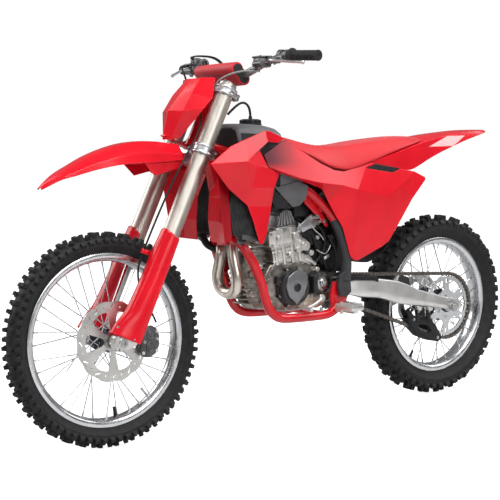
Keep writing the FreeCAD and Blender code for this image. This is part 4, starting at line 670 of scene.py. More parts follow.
def brake_disc(bm, radius, y, thickness, inner, windows, waves):
    """A wavy disc with windows on its carrier and slots in its band."""
    half = 180 / windows * 0.64
    window = rounded_loop([polar(inner + 13, -half * 0.9), polar(radius - 33, -half), polar(radius - 30, 0),
                           polar(radius - 33, half), polar(inner + 13, half * 0.9)], 9)
    slot = rounded_loop([polar(radius - 24, -4.5), polar(radius - 20, -3.6), polar(radius - 9, 3.2),
                         polar(radius - 13, 4.4)], 2.4, 2)
    dots = circle(2.6, 10, polar(radius - 19, 180 / waves))
    bolts = circle(3.4, 10, polar(inner + 7, 180 / windows))
    loops = [wave(radius, 4.0, waves, 180), circle(inner, 48)]
    loops += spun_loops(window, windows)
    loops += spun_loops(slot, waves)
    loops += spun_loops(dots, waves)
    loops += spun_loops(bolts, windows)
    plate(bm, loops, y - thickness / 2, y + thickness / 2)


def inward_rod(bm, degrees, outer, inner, radius, end_radius=None, sides=12):
    """A bar that points from the rim to the axle, at an angle round the wheel."""
    turn = Matrix.Rotation(math.radians(degrees), 4, "Y")
    rod(bm, turn @ Vector((outer, 0, 0)), turn @ Vector((inner, 0, 0)), radius, end_radius, sides)


class BIKE_OT_front_wheel(bpy.types.Operator):
    """Build the front tyre, rim, spokes, hub and brake disc"""

    bl_idname = "bike.front_wheel"
    bl_label = "Front Wheel"

    def execute(self, context):
        rows = sizes().front_rows
        bm = bmesh.new()
        blocks = [
            (18, 17, 12.5, 316, 36, 50, 1, 0),
            (15, 15, 12.5, 331.5, 21, 16, 2, 0),
            (16, 19, 13.5, 333, 10.5, 3, 2, 1),
        ]
        knobby_tyre(bm, 280, 24, 46, 333, rows, blocks)
        piece("front_tyre_tread", bm, "tyre_rubber", "front_wheel", ["front_tyre"])
        bm = bmesh.new()
        wheel_rim(bm, 280, 26)
        piece("front_rim_polished", bm, "rim_silver", "front_wheel", ["front_rim"])
        bm = bmesh.new()
        laced_spokes(bm, sizes().spokes, 253.5, 33, 28, sizes().spoke_radius * 1000)
        piece("front_spokes", bm, "spoke_steel", "front_wheel")
        bm = bmesh.new()
        hub = [(12.9, 65.5), (17, 66), (18.6, 64), (19, 61), (33, 60.2), (34, 59), (34, 54), (31, 51),
               (21, 46), (20, 38), (24, 34), (35.5, 31), (36.5, 29.5), (36.5, 26.5), (35.5, 25), (24, 22),
               (20, 17), (19, 6), (19, -6), (20, -17), (24, -22), (35.5, -25), (36.5, -26.5), (36.5, -29.5),
               (35.5, -31), (24, -34), (19, -40), (18.6, -64), (17, -66), (12.9, -65.5)]
        turned(bm, hub, sides=72, closed=True)
        for place in round_places(6):
            block(bm, place @ Vector((27, 57, 0)), (20, 7, 13), place, 2)
        piece("front_hub_turned", bm, "hub_black", "front_wheel", ["front_hub"])
        bm = bmesh.new()
        brake_disc(bm, 130, 62, 3, 20, 6, 12)
        for place in round_places(6, start=math.pi / 6):
            bolt(bm, place @ Vector((27, 63.4, 0)), (0, 1, 0), 4, 3)
        piece("front_disc_wavy", bm, "disc_steel", "front_wheel", ["front_disc"])
        bm = bmesh.new()
        inward_rod(bm, 128, 252, 224, 4.2, 3.6)
        inward_rod(bm, 128, 226, 216, 4.6, 4.4)
        piece("front_valve", bm, "bolt_steel", "front_wheel")
        bm = bmesh.new()
        inward_rod(bm, 98, 252, 243, 7, sides=6)
        inward_rod(bm, 98, 244, 222, 5.2, 4.8)
        piece("front_rim_lock", bm, "plastic_black", "front_wheel")
        return {"FINISHED"}


class BIKE_OT_rear_wheel(bpy.types.Operator):
    """Build the rear tyre, rim, spokes, hub, brake disc and sprocket"""

    bl_idname = "bike.rear_wheel"
    bl_label = "Rear Wheel"

    def execute(self, context):
        rows = sizes().rear_rows
        bm = bmesh.new()
        blocks = [
            (23, 20, 15, 305, 43.5, 46, 1, 0),
            (19, 21, 15.5, 321.5, 26, 12, 2, 0),
            (20, 25, 15.4, 323, 13, 2, 2, 1),
        ]
        knobby_tyre(bm, 255, 30, 58, 323, rows, blocks)
        piece("rear_tyre_tread", bm, "tyre_rubber", "rear_wheel", ["rear_tyre"])
        bm = bmesh.new()
        wheel_rim(bm, 255, 33)
        piece("rear_rim_polished", bm, "rim_silver", "rear_wheel", ["rear_rim"])
        bm = bmesh.new()
        laced_spokes(bm, sizes().spokes, 228.5, 55, 38, sizes().spoke_radius * 1000)
        piece("rear_spokes", bm, "spoke_steel", "rear_wheel")
        bm = bmesh.new()
        hub = [(12.9, 83.5), (22, 84), (24, 82), (24, 71.8), (51, 71.8), (52, 70.5), (52, 64), (48, 61),
               (31, 53), (31, 46), (36, 43), (58, 41.5), (59.5, 40), (59.5, 36), (58, 34.5), (36, 32),
               (31, 27), (30, 12), (30, -12), (31, -27), (36, -32), (58, -34.5), (59.5, -36), (59.5, -40),
               (58, -41.5), (36, -43), (30, -50), (38, -60), (40, -64), (40, -69.4), (24, -69.6), (24, -82),
               (22, -84), (12.9, -83.5)]
        turned(bm, hub, sides=72, closed=True)
        piece("rear_hub_turned", bm, "hub_black", "rear_wheel", ["rear_hub"])
        bm = bmesh.new()
        brake_disc(bm, 110, -72, 4, 25, 5, 10)
        piece("rear_disc_wavy", bm, "disc_steel", "rear_wheel", ["rear_disc"])
        bm = bmesh.new()
        tip = 115.4
        teeth = []
        for i in range(REAR_TEETH):
            for share, reach in ((-0.5, tip - 6), (-0.28, tip - 5.2), (-0.12, tip - 0.8), (0, tip),
                                 (0.12, tip - 0.8), (0.28, tip - 5.2)):
                teeth.append(polar(reach, (i + share) * 360 / REAR_TEETH))
        window = rounded_loop([polar(61, -17), polar(98, -22), polar(101, 0), polar(98, 22), polar(61, 17)],
                              11, 5)
        small = rounded_loop([polar(86, 26.5), polar(103, 27), polar(103, 33), polar(86, 33.5)], 3.5)
        loops = [teeth, circle(25, 48)] + spun_loops(window, 6) + spun_loops(small, 6)
        plate(bm, loops, 72.4, 77.6)
        for place in round_places(6, start=math.pi / 6):
            bolt(bm, place @ Vector((43, 77.4, 0)), (0, 1, 0), 6, 5)
        piece("rear_sprocket_toothed", bm, "rim_silver", "rear_wheel", ["rear_sprocket"])
        bm = bmesh.new()
        inward_rod(bm, 150, 227, 200, 4.2, 3.6)
        piece("rear_valve", bm, "bolt_steel", "rear_wheel")
        bm = bmesh.new()
        inward_rod(bm, 60, 227, 217, 7, sides=6)
        inward_rod(bm, 60, 218, 198, 5.2, 4.8)
        piece("rear_rim_lock", bm, "plastic_black", "rear_wheel")
        return {"FINISHED"}


def pitch_radius(teeth):
    """The radius at which a sprocket's chain pins run."""
    return CHAIN_PITCH / (2 * math.sin(math.pi / teeth))


def chain_route(count):
    """Pin places in side view round both sprockets, evenly spaced."""
    shaft = Vector((623, 470))
    axle = Vector((0, 340))
    small = pitch_radius(DRIVE_TEETH)
    large = pitch_radius(REAR_TEETH)
    line = shaft - axle
    lean = math.atan2(line.y, line.x)
    spread = math.acos((large - small) / line.length)
    runs = [
        ("arc", shaft, small, lean - spread, 2 * spread),
        ("line", shaft, axle, lean + spread),
        ("arc", axle, large, lean + spread, 2 * math.pi - 2 * spread),
        ("line", axle, shaft, lean - spread),
    ]
    lengths = []
    straight = math.sqrt(line.length ** 2 - (large - small) ** 2)
    for run in runs:
        lengths.append(run[2] * run[4] if run[0] == "arc" else straight)
    total = sum(lengths)
    places = []
    for i in range(count):
        reach = i / count * total
        for run, length in zip(runs, lengths):
            if reach <= length:
                break
            reach -= length
        if run[0] == "arc":
            angle = run[3] + reach / run[2]
            middle = run[1]
            places.append(middle + run[2] * Vector((math.cos(angle), math.sin(angle))))
        else:
            out = Vector((math.cos(run[3]), math.sin(run[3])))
            begin = run[1] + out * (small if run[1] == shaft else large)
            end = run[2] + out * (large if run[1] == shaft else small)
            places.append(begin.lerp(end, reach / length))
    return places


class BIKE_OT_chain(bpy.types.Operator):
    """Build the closed chain, link by link, round both sprockets"""

    bl_idname = "bike.chain"
    bl_label = "Chain"

    def execute(self, context):
        bm = bmesh.new()
        count = sizes().links
        pins = chain_route(count)
        for i in range(count):
            here = pins[i]
            after = pins[(i + 1) % count]
            run = after - here
            lean = math.atan2(run.y, run.x)
            outer = i % 2 == 0
            reach = 7.2 if outer else 6.6
            shape = [(-reach * math.cos(a), reach * math.sin(a)) for a in (-1.2, -0.6, 0, 0.6, 1.2)]
            shape += [(run.length / 2, reach * 0.72)]
            shape += [(run.length + reach * math.cos(a), reach * math.sin(a))
                      for a in (1.2, 0.6, 0, -0.6, -1.2)]
            shape += [(run.length / 2, -reach * 0.72)]
            place = Matrix.Translation((here.x, CHAIN_Y, here.y)) @ Matrix.Rotation(-lean, 4, "Y")
            low, high = (6.3, 8.3) if outer else (4.0, 6.0)
            for side in (1, -1):
                plate(bm, shape, side * low, side * high, place=place)
            for half, radius, sides in ((8.45, 2.4, 8), (4.2, 5.0, 10)):
                cross_rod(bm, here.x, here.y, CHAIN_Y - half, CHAIN_Y + half, radius, sides=sides)
        piece("chain_links", bm, "chain_steel", "ground", ["chain"])
        return {"FINISHED"}


# Fork and steering.
LEG = (CLAMP_OFFSET, 105)
OUTER_LEG = [
    (0, 270), (24.6, 270), (24.6, 262), (31, 262), (31.8, 263), (31.8, 271), (31, 272.5), (31, 276),
    (31.8, 277.5), (31.8, 288), (31, 290), (30, 293), (29, 297), (29, 916), (0, 916),
]
LEG_CAP = [
    (0, 915), (27.5, 915), (27.5, 918.5), (26.5, 919.5), (20.5, 919.5), (20, 921), (20, 923.5), (18.5, 925),
    (10, 925), (9.5, 923.5), (0, 923.5),
]
INNER_LEG = [(0, 64), (24, 64), (24, 268), (0, 268)]
FOOT_SIDE = [
    (-9, 62), (53, 62), (58, 50), (73, 34), (80, 10), (78, -14), (63, -26), (57, -26), (57, -15), (53, -15),
    (53, -26), (43, -25), (29, -12), (6, 8), (-6, 34),
]


def fork_legs():
    outer = bmesh.new()
    caps = bmesh.new()
    inner = bmesh.new()
    for side in (1, -1):
        place = along_z(LEG[0], side * LEG[1])
        turned(outer, OUTER_LEG, place, 56)
        turned(caps, LEG_CAP, place, 48)
        for spot in circle(13, 2, (LEG[0], side * LEG[1]), 0.6):
            bolt(caps, (*spot, 923), (0, 0, 1), 2.6, 3)
        turned(inner, INNER_LEG, place, 48)
    piece("fork_outer_tubes", outer, "fork_silver", "fork", ("fork_tubes",))
    piece("fork_leg_caps", caps, "bar_grey", "fork")
    piece("fork_inner_tubes", inner, "disc_steel", "fork")


def clamp_plan(front, back, boss):
    """The outline of a triple clamp seen from above, slit behind each leg."""
    x, y = LEG
    left = [(front, 0), (front + 4, 34), (x + boss * 0.5, y - boss * 0.98)]
    left += [(x + u, y + w) for u, w in (polar(boss, a) for a in range(-50, 131, 18))]
    left += [(x - boss - 8, y + 10), (x - boss - 17, y + 8), (x - boss - 17, y + 1), (x - 27, y + 1),
             (x - 27, y - 2), (x - boss - 17, y - 2), (x - boss - 17, y - 12), (x - boss - 2, y - 22),
             (back + 4, 44), (back - 2, 20)]
    right = [(u, -v) for u, v in reversed(left[1:])]
    return left + right


def fork_clamps():
    upper = bmesh.new()
    lower = bmesh.new()
    bolts = bmesh.new()
    for form, low, high, front, back in ((upper, 876, 904, 26, -24), (lower, 663, 695, 30, -22)):
        plate(form, [(x, -y) for x, y in clamp_plan(front, back, 35)], low + 3, high - 3, 3, along_z(0, 0))
        for side in (1, -1):
            ring = [(29.3, low), (36.4, low), (37, low + 1), (37, low + 7), (36, low + 8.5), (35, low + 9),
                    (35, high - 9), (36, high - 8.5), (37, high - 7), (37, high - 1), (36.4, high),
                    (29.3, high)]
            turned(form, ring, along_z(LEG[0], side * LEG[1]), 56, closed=True)
            for up in (low + 8, high - 8):
                bolt(bolts, (LEG[0] - 46, side * LEG[1] + 8, up), (0, 1, 0), 4.2, 6)
    turned(lower, [(0, 640), (22, 640), (24, 644), (24, 666), (16, 668), (16, 912), (0, 912)],
           along_z(0, 0), 40)
    turned(upper, [(0, 905), (26, 905), (26, 908), (22, 910), (0, 910)], along_z(0, 0), 40)
    rod(bolts, (0, 0, 909), (0, 0, 921), 17, 16, sides=6)
    rod(bolts, (0, 0, 921), (0, 0, 924), 9, 8)
    piece("fork_upper_clamp", upper, "clamp_silver", "fork", ease=0.8)
    piece("fork_lower_clamp", lower, "clamp_silver", "fork", ("lower_clamp",), ease=0.8)
    piece("fork_clamp_bolts", bolts, "bolt_steel", "fork")
    mounts = bmesh.new()
    centre = Vector(BAR_CLAMP) - STEERING_FOOT
    forward = centre.dot(FORK_FORWARD)
    up = centre.dot(FORK_UP)
    side_view = [(forward - 17, 902), (forward + 17, 902), (forward + 21, up - 17), (forward + 22, up + 6),
                 (forward + 15, up + 19), (forward - 15, up + 19), (forward - 22, up + 6),
                 (forward - 21, up - 17)]
    for near, far in ((24, 46), (-46, -24)):
        plate(mounts, side_view, near, far, 3)
        for shift in (-14.4, 14.4):
            head = Vector((forward + shift, (near + far) / 2, up + 17))
            rod(mounts, head, head + Vector((0, 0, 5)), 5.5, sides=14)
    piece("bar_mounts", mounts, "clamp_silver", "fork", ("upper_clamp",), ease=1.0)


def fork_feet_and_axle():
    feet = bmesh.new()
    bolts = bmesh.new()
    for side in (1, -1):
        y = side * LEG[1]
        plate(feet, [FOOT_SIDE, circle(13.4, 28, (AXLE_LEAD, 0))], y - 20, y + 20, 3.5)
        turned(feet, [(24.2, 52), (29, 52), (31, 54), (31, 70), (29.5, 72), (24.2, 72)], along_z(LEG[0], y),
               40, closed=True)
        turned(feet, [(13.4, -23.5), (19, -23.5), (20, -22.5), (20, -18), (13.4, -18)],
               Matrix.Translation((AXLE_LEAD, y + (44 if side > 0 else 0), 0)), 40, closed=True)
        for up, forward in ((-17, 66), (-19, 44)):
            bolt(bolts, (forward, y + side * 20, up + 4), (0, side, 0), 3.6, 4)
        for across in (-9, 9):
            bolt(bolts, (76, y + across, 4), (1, 0, -0.2), 3.6, 5)
    piece("fork_axle_feet", feet, "cast_silver", "fork", ("fork_feet",))
    piece("fork_foot_bolts", bolts, "bolt_steel", "fork")
    spindle = bmesh.new()
    turned(spindle, [(8, -130), (12.6, -130), (13, -129.4), (13, -83.7), (18, -83.7), (18, -56), (12.5, -56),
                     (12.5, 56), (18, 56), (18, 83.7), (13, 83.7), (13, 126), (15, 126.5), (16, 127.5),
                     (16, 132), (15, 133), (8, 133)], sides=40, closed=True)
    cross_rod(spindle, 0, 0, 122, 130.5, 8.2, sides=6)
    piece("front_spindle", spindle, "bolt_steel", "front_axle", ("front_axle",))


GUARD_LEVELS = [
    # height, front reach, side reach, back reach
    (384, 33, 34, 36), (366, 35, 34, 36), (330, 38, 35, 37), (260, 40, 35.5, 38), (200, 42, 36, 38),
    (140, 47, 36, 39), (110, 50, 36, 40), (84, 60, 36, 40), (60, 68, 36, 40), (38, 73, 37, 40),
    (22, 76, 38, 40),
]


def fork_guard_shells():
    guards = bmesh.new()
    for side in (1, -1):
        rows = []
        y = side * LEG[1]
        for up, front, aside, back in between(GUARD_LEVELS, 2):
            section = [(-back * 0.55, 1.0), (-back * 0.2, 1.08), (front * 0.2, 1.07), (front * 0.55, 0.9),
                       (front * 0.9, 0.62), (front, 0.3), (front, -0.3), (front * 0.9, -0.6),
                       (front * 0.55, -0.86), (back * 0.2, -1.0)]
            lift = [0, 0, 4, 9, 14, 17, 17, 12, 4, 0] if up > 383 else [0] * 10
            rows.append([(LEG[0] + u, y + side * v * aside, up - 6 + rise)
                         for (u, v), rise in zip(section, lift)])
        shell(guards, rows, 3.0)
    bmesh.ops.recalc_face_normals(guards, faces=guards.faces)
    piece("fork_guard_shells", guards, "plastic_red", "fork", ("fork_guards",), subdivide=1)
    details = bmesh.new()
    for side in (1, -1):
        y = side * LEG[1]
        for place, toward in (((88, y + side * 16, 40), (1, side * 0.5, 0)),
                              ((-8, y + side * 38, 30), (0, side, 0)),
                              ((30, y + side * 37.5, 24), (0, side, 0))):
            bolt(details, place, toward, 3.6, 3)
    piece("fork_guard_bolts", details, "bolt_steel", "fork")
    clip = bmesh.new()
    block(clip, (60, 74, 304), (22, 10, 16), bevel=3)
    block(clip, (71, 66, 304), (16, 16, 14), bevel=4)
    rod(clip, (72, 66, 296), (72, 66, 312), 8, sides=20)
    piece("brake_hose_clip", clip, "plastic_red", "fork", ease=1.0)


def front_brake():
    body = bmesh.new()
    plate(body, [(-88, -40), (-90, -8), (-98, 22), (-112, 40), (-132, 42), (-150, 30), (-158, 6), (-156, -26),
                 (-142, -50), (-122, -60), (-100, -58)], 71, 88, 4)
    plate(body, [(-92, -34), (-96, 16), (-116, 34), (-140, 28), (-150, 0), (-146, -30), (-128, -48),
                 (-104, -46)], 40, 55, 3)
    block(body, (-151, 62, -4), (14, 40, 52), bevel=4)
    for x, z in ((-124, 14), (-122, -26)):
        turned(body, [(0, 84), (17, 84), (17, 90), (15.5, 92), (13, 92), (12.5, 89.5), (8, 89.5), (7.5, 91),
                      (0, 91)], along_y(x, z), 32)
    cross_rod(body, -100, 36, 78, 96, 9, 8)
    piece("front_brake_caliper", body, "dark_metal", "front_axle", ("front_caliper",), ease=0.8)
    bracket = bmesh.new()
    plate(bracket, [(-58, 2), (-62, 34), (-92, 44), (-112, 34), (-112, 8), (-92, 2), (-78, -6)], 76, 86, 2)
    for x, z in ((-100, 30), (-96, -44), (-146, -40), (-148, 22)):
        bolt(bracket, (x, 87, z), (0, 1, 0), 4.2, 5)
    cross_rod(bracket, -146, -2, 87, 96, 5, 4.4, sides=12)
    piece("front_brake_bracket", bracket, "cast_silver", "front_axle")


BAR_CLAMP = (994, 0, 1182)
BAR_BEND = (926, 262, 1243)
BAR_END = (908, 405.5, 1234)
BAR_LINE = [BAR_CLAMP, (994, 60, 1182), (996, 88, 1181), (986, 140, 1197), (966, 196, 1222), (943, 236, 1237),
            BAR_BEND, BAR_END]
GRIP_RUN = (Vector(BAR_END) - Vector(BAR_BEND)).normalized()


def along_grip(middle):
    """The place of a form spun about the line of the left grip."""
    return Matrix.Translation(middle) @ GRIP_RUN.to_track_quat("Y", "Z").to_matrix().to_4x4()


def handlebar():
    bar = bmesh.new()
    whole = mirrored(reversed(BAR_LINE[1:])) + BAR_LINE
    swell = [0.78, 0.78, 0.78, 0.8, 0.9, 1.0, 1.0, 1.0, 1.0, 1.0, 0.9, 0.8, 0.78, 0.78, 0.78]
    tube(bar, whole, 14.2, 24, swell, steps=12)
    piece("tapered_bar", bar, "bar_grey", "steered", ("handlebar",))
    profile = [(11.5, -122), (23, -122), (24, -121), (24, -118), (22.5, -117), (18.5, -115.5), (17, -113)]
    for i in range(16):
        y = -110 + i * 6.6
        profile += [(16.9, y), (16.9, y + 4.2), (15.9, y + 4.8), (15.9, y + 6.2)]
    profile += [(17, -3), (17.6, -2), (17.6, 1), (16.5, 2), (7, 2), (6, 0.5), (0, 0.5)]
    own = bmesh.new()
    turned(own, [(0, -110), (11.5, -110)] + profile, along_grip(BAR_END), 40)
    grips = bmesh.new()
    both_sides(grips, own)
    piece("ribbed_grips", grips, "grip_rubber", "steered", ("grips",))


UPPER_LOBE = (1023, 1208)
LOWER_LOBE = (995, 1174)


def lobe(centre, radius, first, last):
    """Points on part of a circle in side view, at every ten degrees."""
    return [(centre[0] + u, centre[1] + w) for u, w in (polar(radius, a) for a in range(first, last, 10))]


def bar_pad():
    pad = bmesh.new()
    middle = Vector((1009, 0, 1191))
    loop = lobe(UPPER_LOBE, 22, -70, 171) + lobe(LOWER_LOBE, 20.5, 110, 351)
    rings = []
    for y, grow in ((-118, 0.93), (-117, 0.985), (-112, 1.0), (-60, 1.015), (0, 1.02), (60, 1.015),
                    (112, 1.0), (117, 0.985), (118, 0.93)):
        rings.append([(middle.x + (x - middle.x) * grow, y, middle.z + (z - middle.z) * grow)
                      for x, z in loop])
    loft(pad, rings)
    thing = piece("bar_pad_cover", pad, "pad_red", "steered", ("bar_pad",), angle=50)
    ends = bmesh.new()
    for y in (-118.6, 115.6):
        inner = [(middle.x + (x - middle.x) * 0.86, middle.z + (z - middle.z) * 0.86) for x, z in loop]
        plate(ends, inner, y, y + 3, 0.8)
    piece("bar_pad_foam_ends", ends, "foam_black", "steered")


def hand_levers():
    own = bmesh.new()
    for shift in (2, -26):
        turned(own, [(11, -8), (18, -8), (18.8, -7), (18.8, 7), (18, 8), (11, 8)],
               along_grip(Vector(BAR_BEND) + GRIP_RUN * shift), 28, closed=True)
    lean = Matrix.Rotation(math.radians(-7), 4, "Z")
    block(own, (988, 210, 1222), (46, 46, 32), lean, 5)
    block(own, (988, 210, 1240), (50, 50, 6), lean, 2)
    block(own, (960, 234, 1228), (40, 28, 20), lean, 3)
    rod(own, (1004, 190, 1218), (1008, 240, 1218), 10.5, 9)
    rod(own, (1006, 196, 1200), (1000, 200, 1214), 7, 8)
    for spot in ((970, 193, 1243), (1006, 227, 1243)):
        bolt(own, spot, (0, 0, 1), 2.4, 2)
    rod(own, (982, 243, 1216), (982, 243, 1242), 7.5)
    rod(own, (936, 196, 1228), (930, 204, 1220), 7, 6)
    perch = bmesh.new()
    both_sides(perch, own)
    own = bmesh.new()
    tube(own, [(984, 242, 1227), (995, 262, 1227), (990, 290, 1224), (981, 322, 1220), (971, 360, 1216),
               (962, 392, 1213)], 5.4, 16, [1.15, 1.1, 0.95, 0.85, 0.85, 0.9])
    bmesh.ops.create_uvsphere(own, u_segments=20, v_segments=12, radius=6.6,
                              matrix=Matrix.Translation((961, 395, 1212.5)))
    rod(own, (990, 226, 1222), (985, 244, 1230), 6, 7)
    lever = bmesh.new()
    both_sides(lever, own)
    block(perch, (944, -262, 1252), (34, 26, 30), None, 6)
    rod(perch, (950, -262, 1258), (968, -254, 1268), 6, 5)
    piece("hand_perches", perch, "dark_metal", "steered", ("hand_controls",), ease=0.8)
    piece("hand_levers", lever, "clamp_silver", "steered")


def control_cables():
    throttle = bmesh.new()
    for shift in (0, 11):
        tube(throttle, [(964, -260 + shift, 1266), (983, -225 + shift, 1270), (974, -180 + shift, 1268),
                        (955, -140 + shift, 1262), (941, -112 + shift, 1244), (936, -92 + shift, 1212),
                        (946, -78 + shift, 1170), (975, -62 + shift, 1126), (1004, -50 + shift / 2, 1096)], 3,
             12, steps=10)
    piece("throttle_cable_pair", throttle, "hose_rubber", "steered", ("throttle_cables",))
    clutch = bmesh.new()
    tube(clutch, [(995, 196, 1195), (1016, 180, 1198), (1035, 150, 1197), (1054, 120, 1190),
                  (1068, 100, 1180), (1083, 80, 1164), (1090, 62, 1130)], 3, 12, steps=12)
    rod(clutch, (990, 200, 1196), (1006, 188, 1198), 4.6, 4)
    piece("clutch_line", clutch, "hose_grey", "steered", ("clutch_cable",))
    hose = bmesh.new()
    low = [tuple(steer_point(*place)) for place in ((86, 112, 318), (72, 66, 300), (66, 62, 238),
                                                    (24, 60, 180), (-16, 68, 152), (-56, 84, 110))]
    tube(hose, [(1004, -215, 1235), (1052, -190, 1234), (1078, -120, 1196), (1104, -50, 1130),
                (1116, 12, 1090), (1120, 52, 1052), (1168, 86, 985), (1218, 100, 930), (1276, 108, 845),
                (1330, 104, 745)] + low[1:], 3.4, 12, steps=10)
    piece("front_brake_hose", hose, "hose_rubber", "steered", ("brake_hose",))


PLATE_ROWS = [
    # middle x and z, crease x, y and z, edge x, y and z
    (1124, 1181, 1118, 44, 1182, 1099, 100, 1180), (1173, 1130, 1166, 60, 1128, 1110, 99, 1113),
    (1221, 1078, 1204, 64, 1072, 1136, 84, 1078), (1246, 983, 1229, 24, 981, 1203, 38, 984),
]


def front_plate():
    rows = []
    for mx, mz, cx, cy, cz, ex, ey, ez in PLATE_ROWS:
        rows.append([(ex, ey, ez), (cx, cy, cz), (mx, 0, mz), (cx, -cy, cz), (ex, -ey, ez)])
    form = bmesh.new()
    shell(form, rows, 4.0)
    bmesh.ops.recalc_face_normals(form, faces=form.faces)
    block(form, tuple(steer_point(72, 0, 689)), (104, 32, 5), Matrix.Rotation(-RAKE, 4, "Y"), 1.5)
    piece("front_plate", form, "plastic_red", "steered", ("number_plate",), ease=2.0, angle=17)


FENDER_STATIONS = [
    # x, ridge height, ridge half, half width, side height
    (1692, 838, 5, 12, 832), (1676, 851, 10, 22, 841), (1640, 875, 17, 46, 861), (1600, 897, 20, 62, 872),
    (1530, 931, 23, 74, 890), (1450, 958, 26, 77, 903), (1380, 972, 28, 75, 907), (1310, 974, 30, 72, 908),
    (1250, 968, 30, 67, 911), (1206, 962, 30, 63, 914),
]


def front_mudguard():
    form = bmesh.new()
    rows = []
    for x, ridge, flat, half, side in between(FENDER_STATIONS, 3):
        rise = ridge - side
        rows.append([(x, half, side), (x, half * 0.93, side + rise * 0.42),
                     (x, half * 0.66, side + rise * 0.8), (x, flat, ridge), (x, 0, ridge + 1),
                     (x, -flat, ridge), (x, -half * 0.66, side + rise * 0.8),
                     (x, -half * 0.93, side + rise * 0.42), (x, -half, side)])
    shell(form, rows, 3.4)
    flap = {"a": (1356, 73, 908), "b": (1318, 67, 866), "c": (1228, 61, 886), "d": (1240, 65, 911),
            "e": (1300, 71, 908), "g": (1206, 62, 914), "h": (1200, 59, 900)}
    panel(form, flap, ["a b e", "b c d e", "c h g d"], 3.2)
    bmesh.ops.recalc_face_normals(form, faces=form.faces)
    tab = Matrix.Rotation(-RAKE, 4, "Y")
    block(form, tuple(steer_point(70, 0, 660.5)), (98, 60, 5), tab, 1.5)
    piece("front_mudguard", form, "plastic_red", "steered", ("front_fender",), ease=2.0, angle=24)


class BIKE_OT_fork(bpy.types.Operator):
    """Build the fork legs, clamps, axle feet, guards, spindle and front caliper"""

    bl_idname = "bike.fork"
    bl_label = "Fork and Front Brake"

    def execute(self, context):
        fork_legs()
        fork_clamps()
        fork_feet_and_axle()
        fork_guard_shells()
        front_brake()
        return {"FINISHED"}


class BIKE_OT_controls(bpy.types.Operator):
    """Build the handlebar with its pad, grips, levers, cables and hose"""

    bl_idname = "bike.controls"
    bl_label = "Handlebar and Controls"

    def execute(self, context):
        handlebar()
        bar_pad()
        hand_levers()
        control_cables()
        return {"FINISHED"}


class BIKE_OT_front_plastics(bpy.types.Operator):
    """Build the plain front plate and the front mudguard"""

    bl_idname = "bike.front_plastics"
    bl_label = "Front Plate and Mudguard"

    def execute(self, context):
        front_plate()
        front_mudguard()
        return {"FINISHED"}


# Bodywork. Corners are (x, y, z) on the rider's left.
SHROUD = {
    "tip": (1216, 212, 909), "top1": (1097, 162, 962), "top2": (1007, 134, 985), "top3": (908, 106, 1009),
    "top4": (883, 102, 1007), "top5": (819, 101, 982), "gapf": (896, 110, 971), "gapr": (849, 103, 966),
    "dark": (957, 138, 946), "ridge": (1050, 188, 911), "ridge2": (994, 174, 897), "notch": (920, 140, 887),
    "low1": (1118, 178, 825), "low2": (1021, 156, 764), "low3": (990, 150, 705), "low4": (964, 150, 634),
    "low5": (951, 149, 634), "rear5": (930, 146, 671), "front5": (971, 150, 652), "rear4": (904, 136, 758),
    "rear3": (893, 138, 819), "rear2": (861, 128, 865), "mid": (1012, 167, 821),
}
SHROUD_FACETS = [
    "tip top1 ridge", "top1 top2 ridge", "top2 top3 gapf dark ridge", "top3 top4 top5 gapr gapf",
    "ridge dark notch ridge2", "tip ridge mid low1", "ridge ridge2 mid", "ridge2 notch rear2 rear3 mid",
    "low1 mid low2", "mid rear3 rear4 low2", "low2 rear4 rear5 front5 low3", "front5 rear5 low5 low4",
]
SIDE_PANEL = {
    "top": (817, 102, 979), "front": (919, 114, 929), "lip": (919, 140, 887), "edge1": (786, 144, 847),
    "edge2": (685, 147, 827), "edge3": (586, 147, 815), "knee": (520, 147, 798), "knee2": (523, 143, 717),
    "knee3": (525, 137, 605), "foot1": (522, 131, 549), "foot2": (503, 130, 548), "low1": (861, 129, 865),
    "low2": (759, 128, 834), "low3": (672, 127, 806), "low4": (641, 128, 756), "low5": (578, 131, 668),
    "low6": (541, 131, 565), "back1": (380, 124, 590), "back2": (346, 123, 608), "back3": (291, 117, 668),
    "back4": (217, 109, 753), "back5": (142, 100, 819), "back6": (141, 99, 829), "roof1": (203, 103, 853),
    "roof2": (276, 106, 864), "roof3": (323, 113, 852), "roof4": (459, 119, 872), "roof5": (409, 113, 884),
    "seam5": (427, 113, 890), "seam4": (502, 119, 874), "seam3": (567, 121, 864), "seam2": (608, 121, 869),
    "seam1": (672, 117, 895), "seam0": (745, 110, 936), "belly": (360, 134, 770), "belly2": (300, 126, 800),
}
SIDE_PANEL_FACETS = [
    "top front lip edge1 seam0", "seam0 edge1 edge2 seam1", "seam1 edge2 seam2", "seam2 edge2 edge3 seam3",
    "seam3 edge3 knee seam4", "lip low1 low2 edge1", "edge1 low2 low3 edge2", "edge2 low3 low4 edge3",
    "edge3 low4 low5 knee2 knee", "knee2 low5 low6 knee3", "knee3 low6 foot1", "knee3 foot1 foot2",
    "seam4 knee roof4", "seam4 roof4 seam5", "roof4 roof5 seam5", "knee belly roof4",
    "roof4 belly belly2 roof3", "knee knee2 belly", "knee2 knee3 foot2 back1 belly",
    "belly back1 back2 back3", "belly back3 back4 belly2", "roof3 belly2 roof2", "roof2 belly2 roof1",
    "belly2 back4 roof1", "back4 back5 back6 roof1",
]


def shrouds():
    form = bmesh.new()
    panel(form, SHROUD, SHROUD_FACETS, 3.4)
    piece("radiator_shrouds", form, "plastic_red", "ground", ("shrouds",), ease=2.6, angle=5)


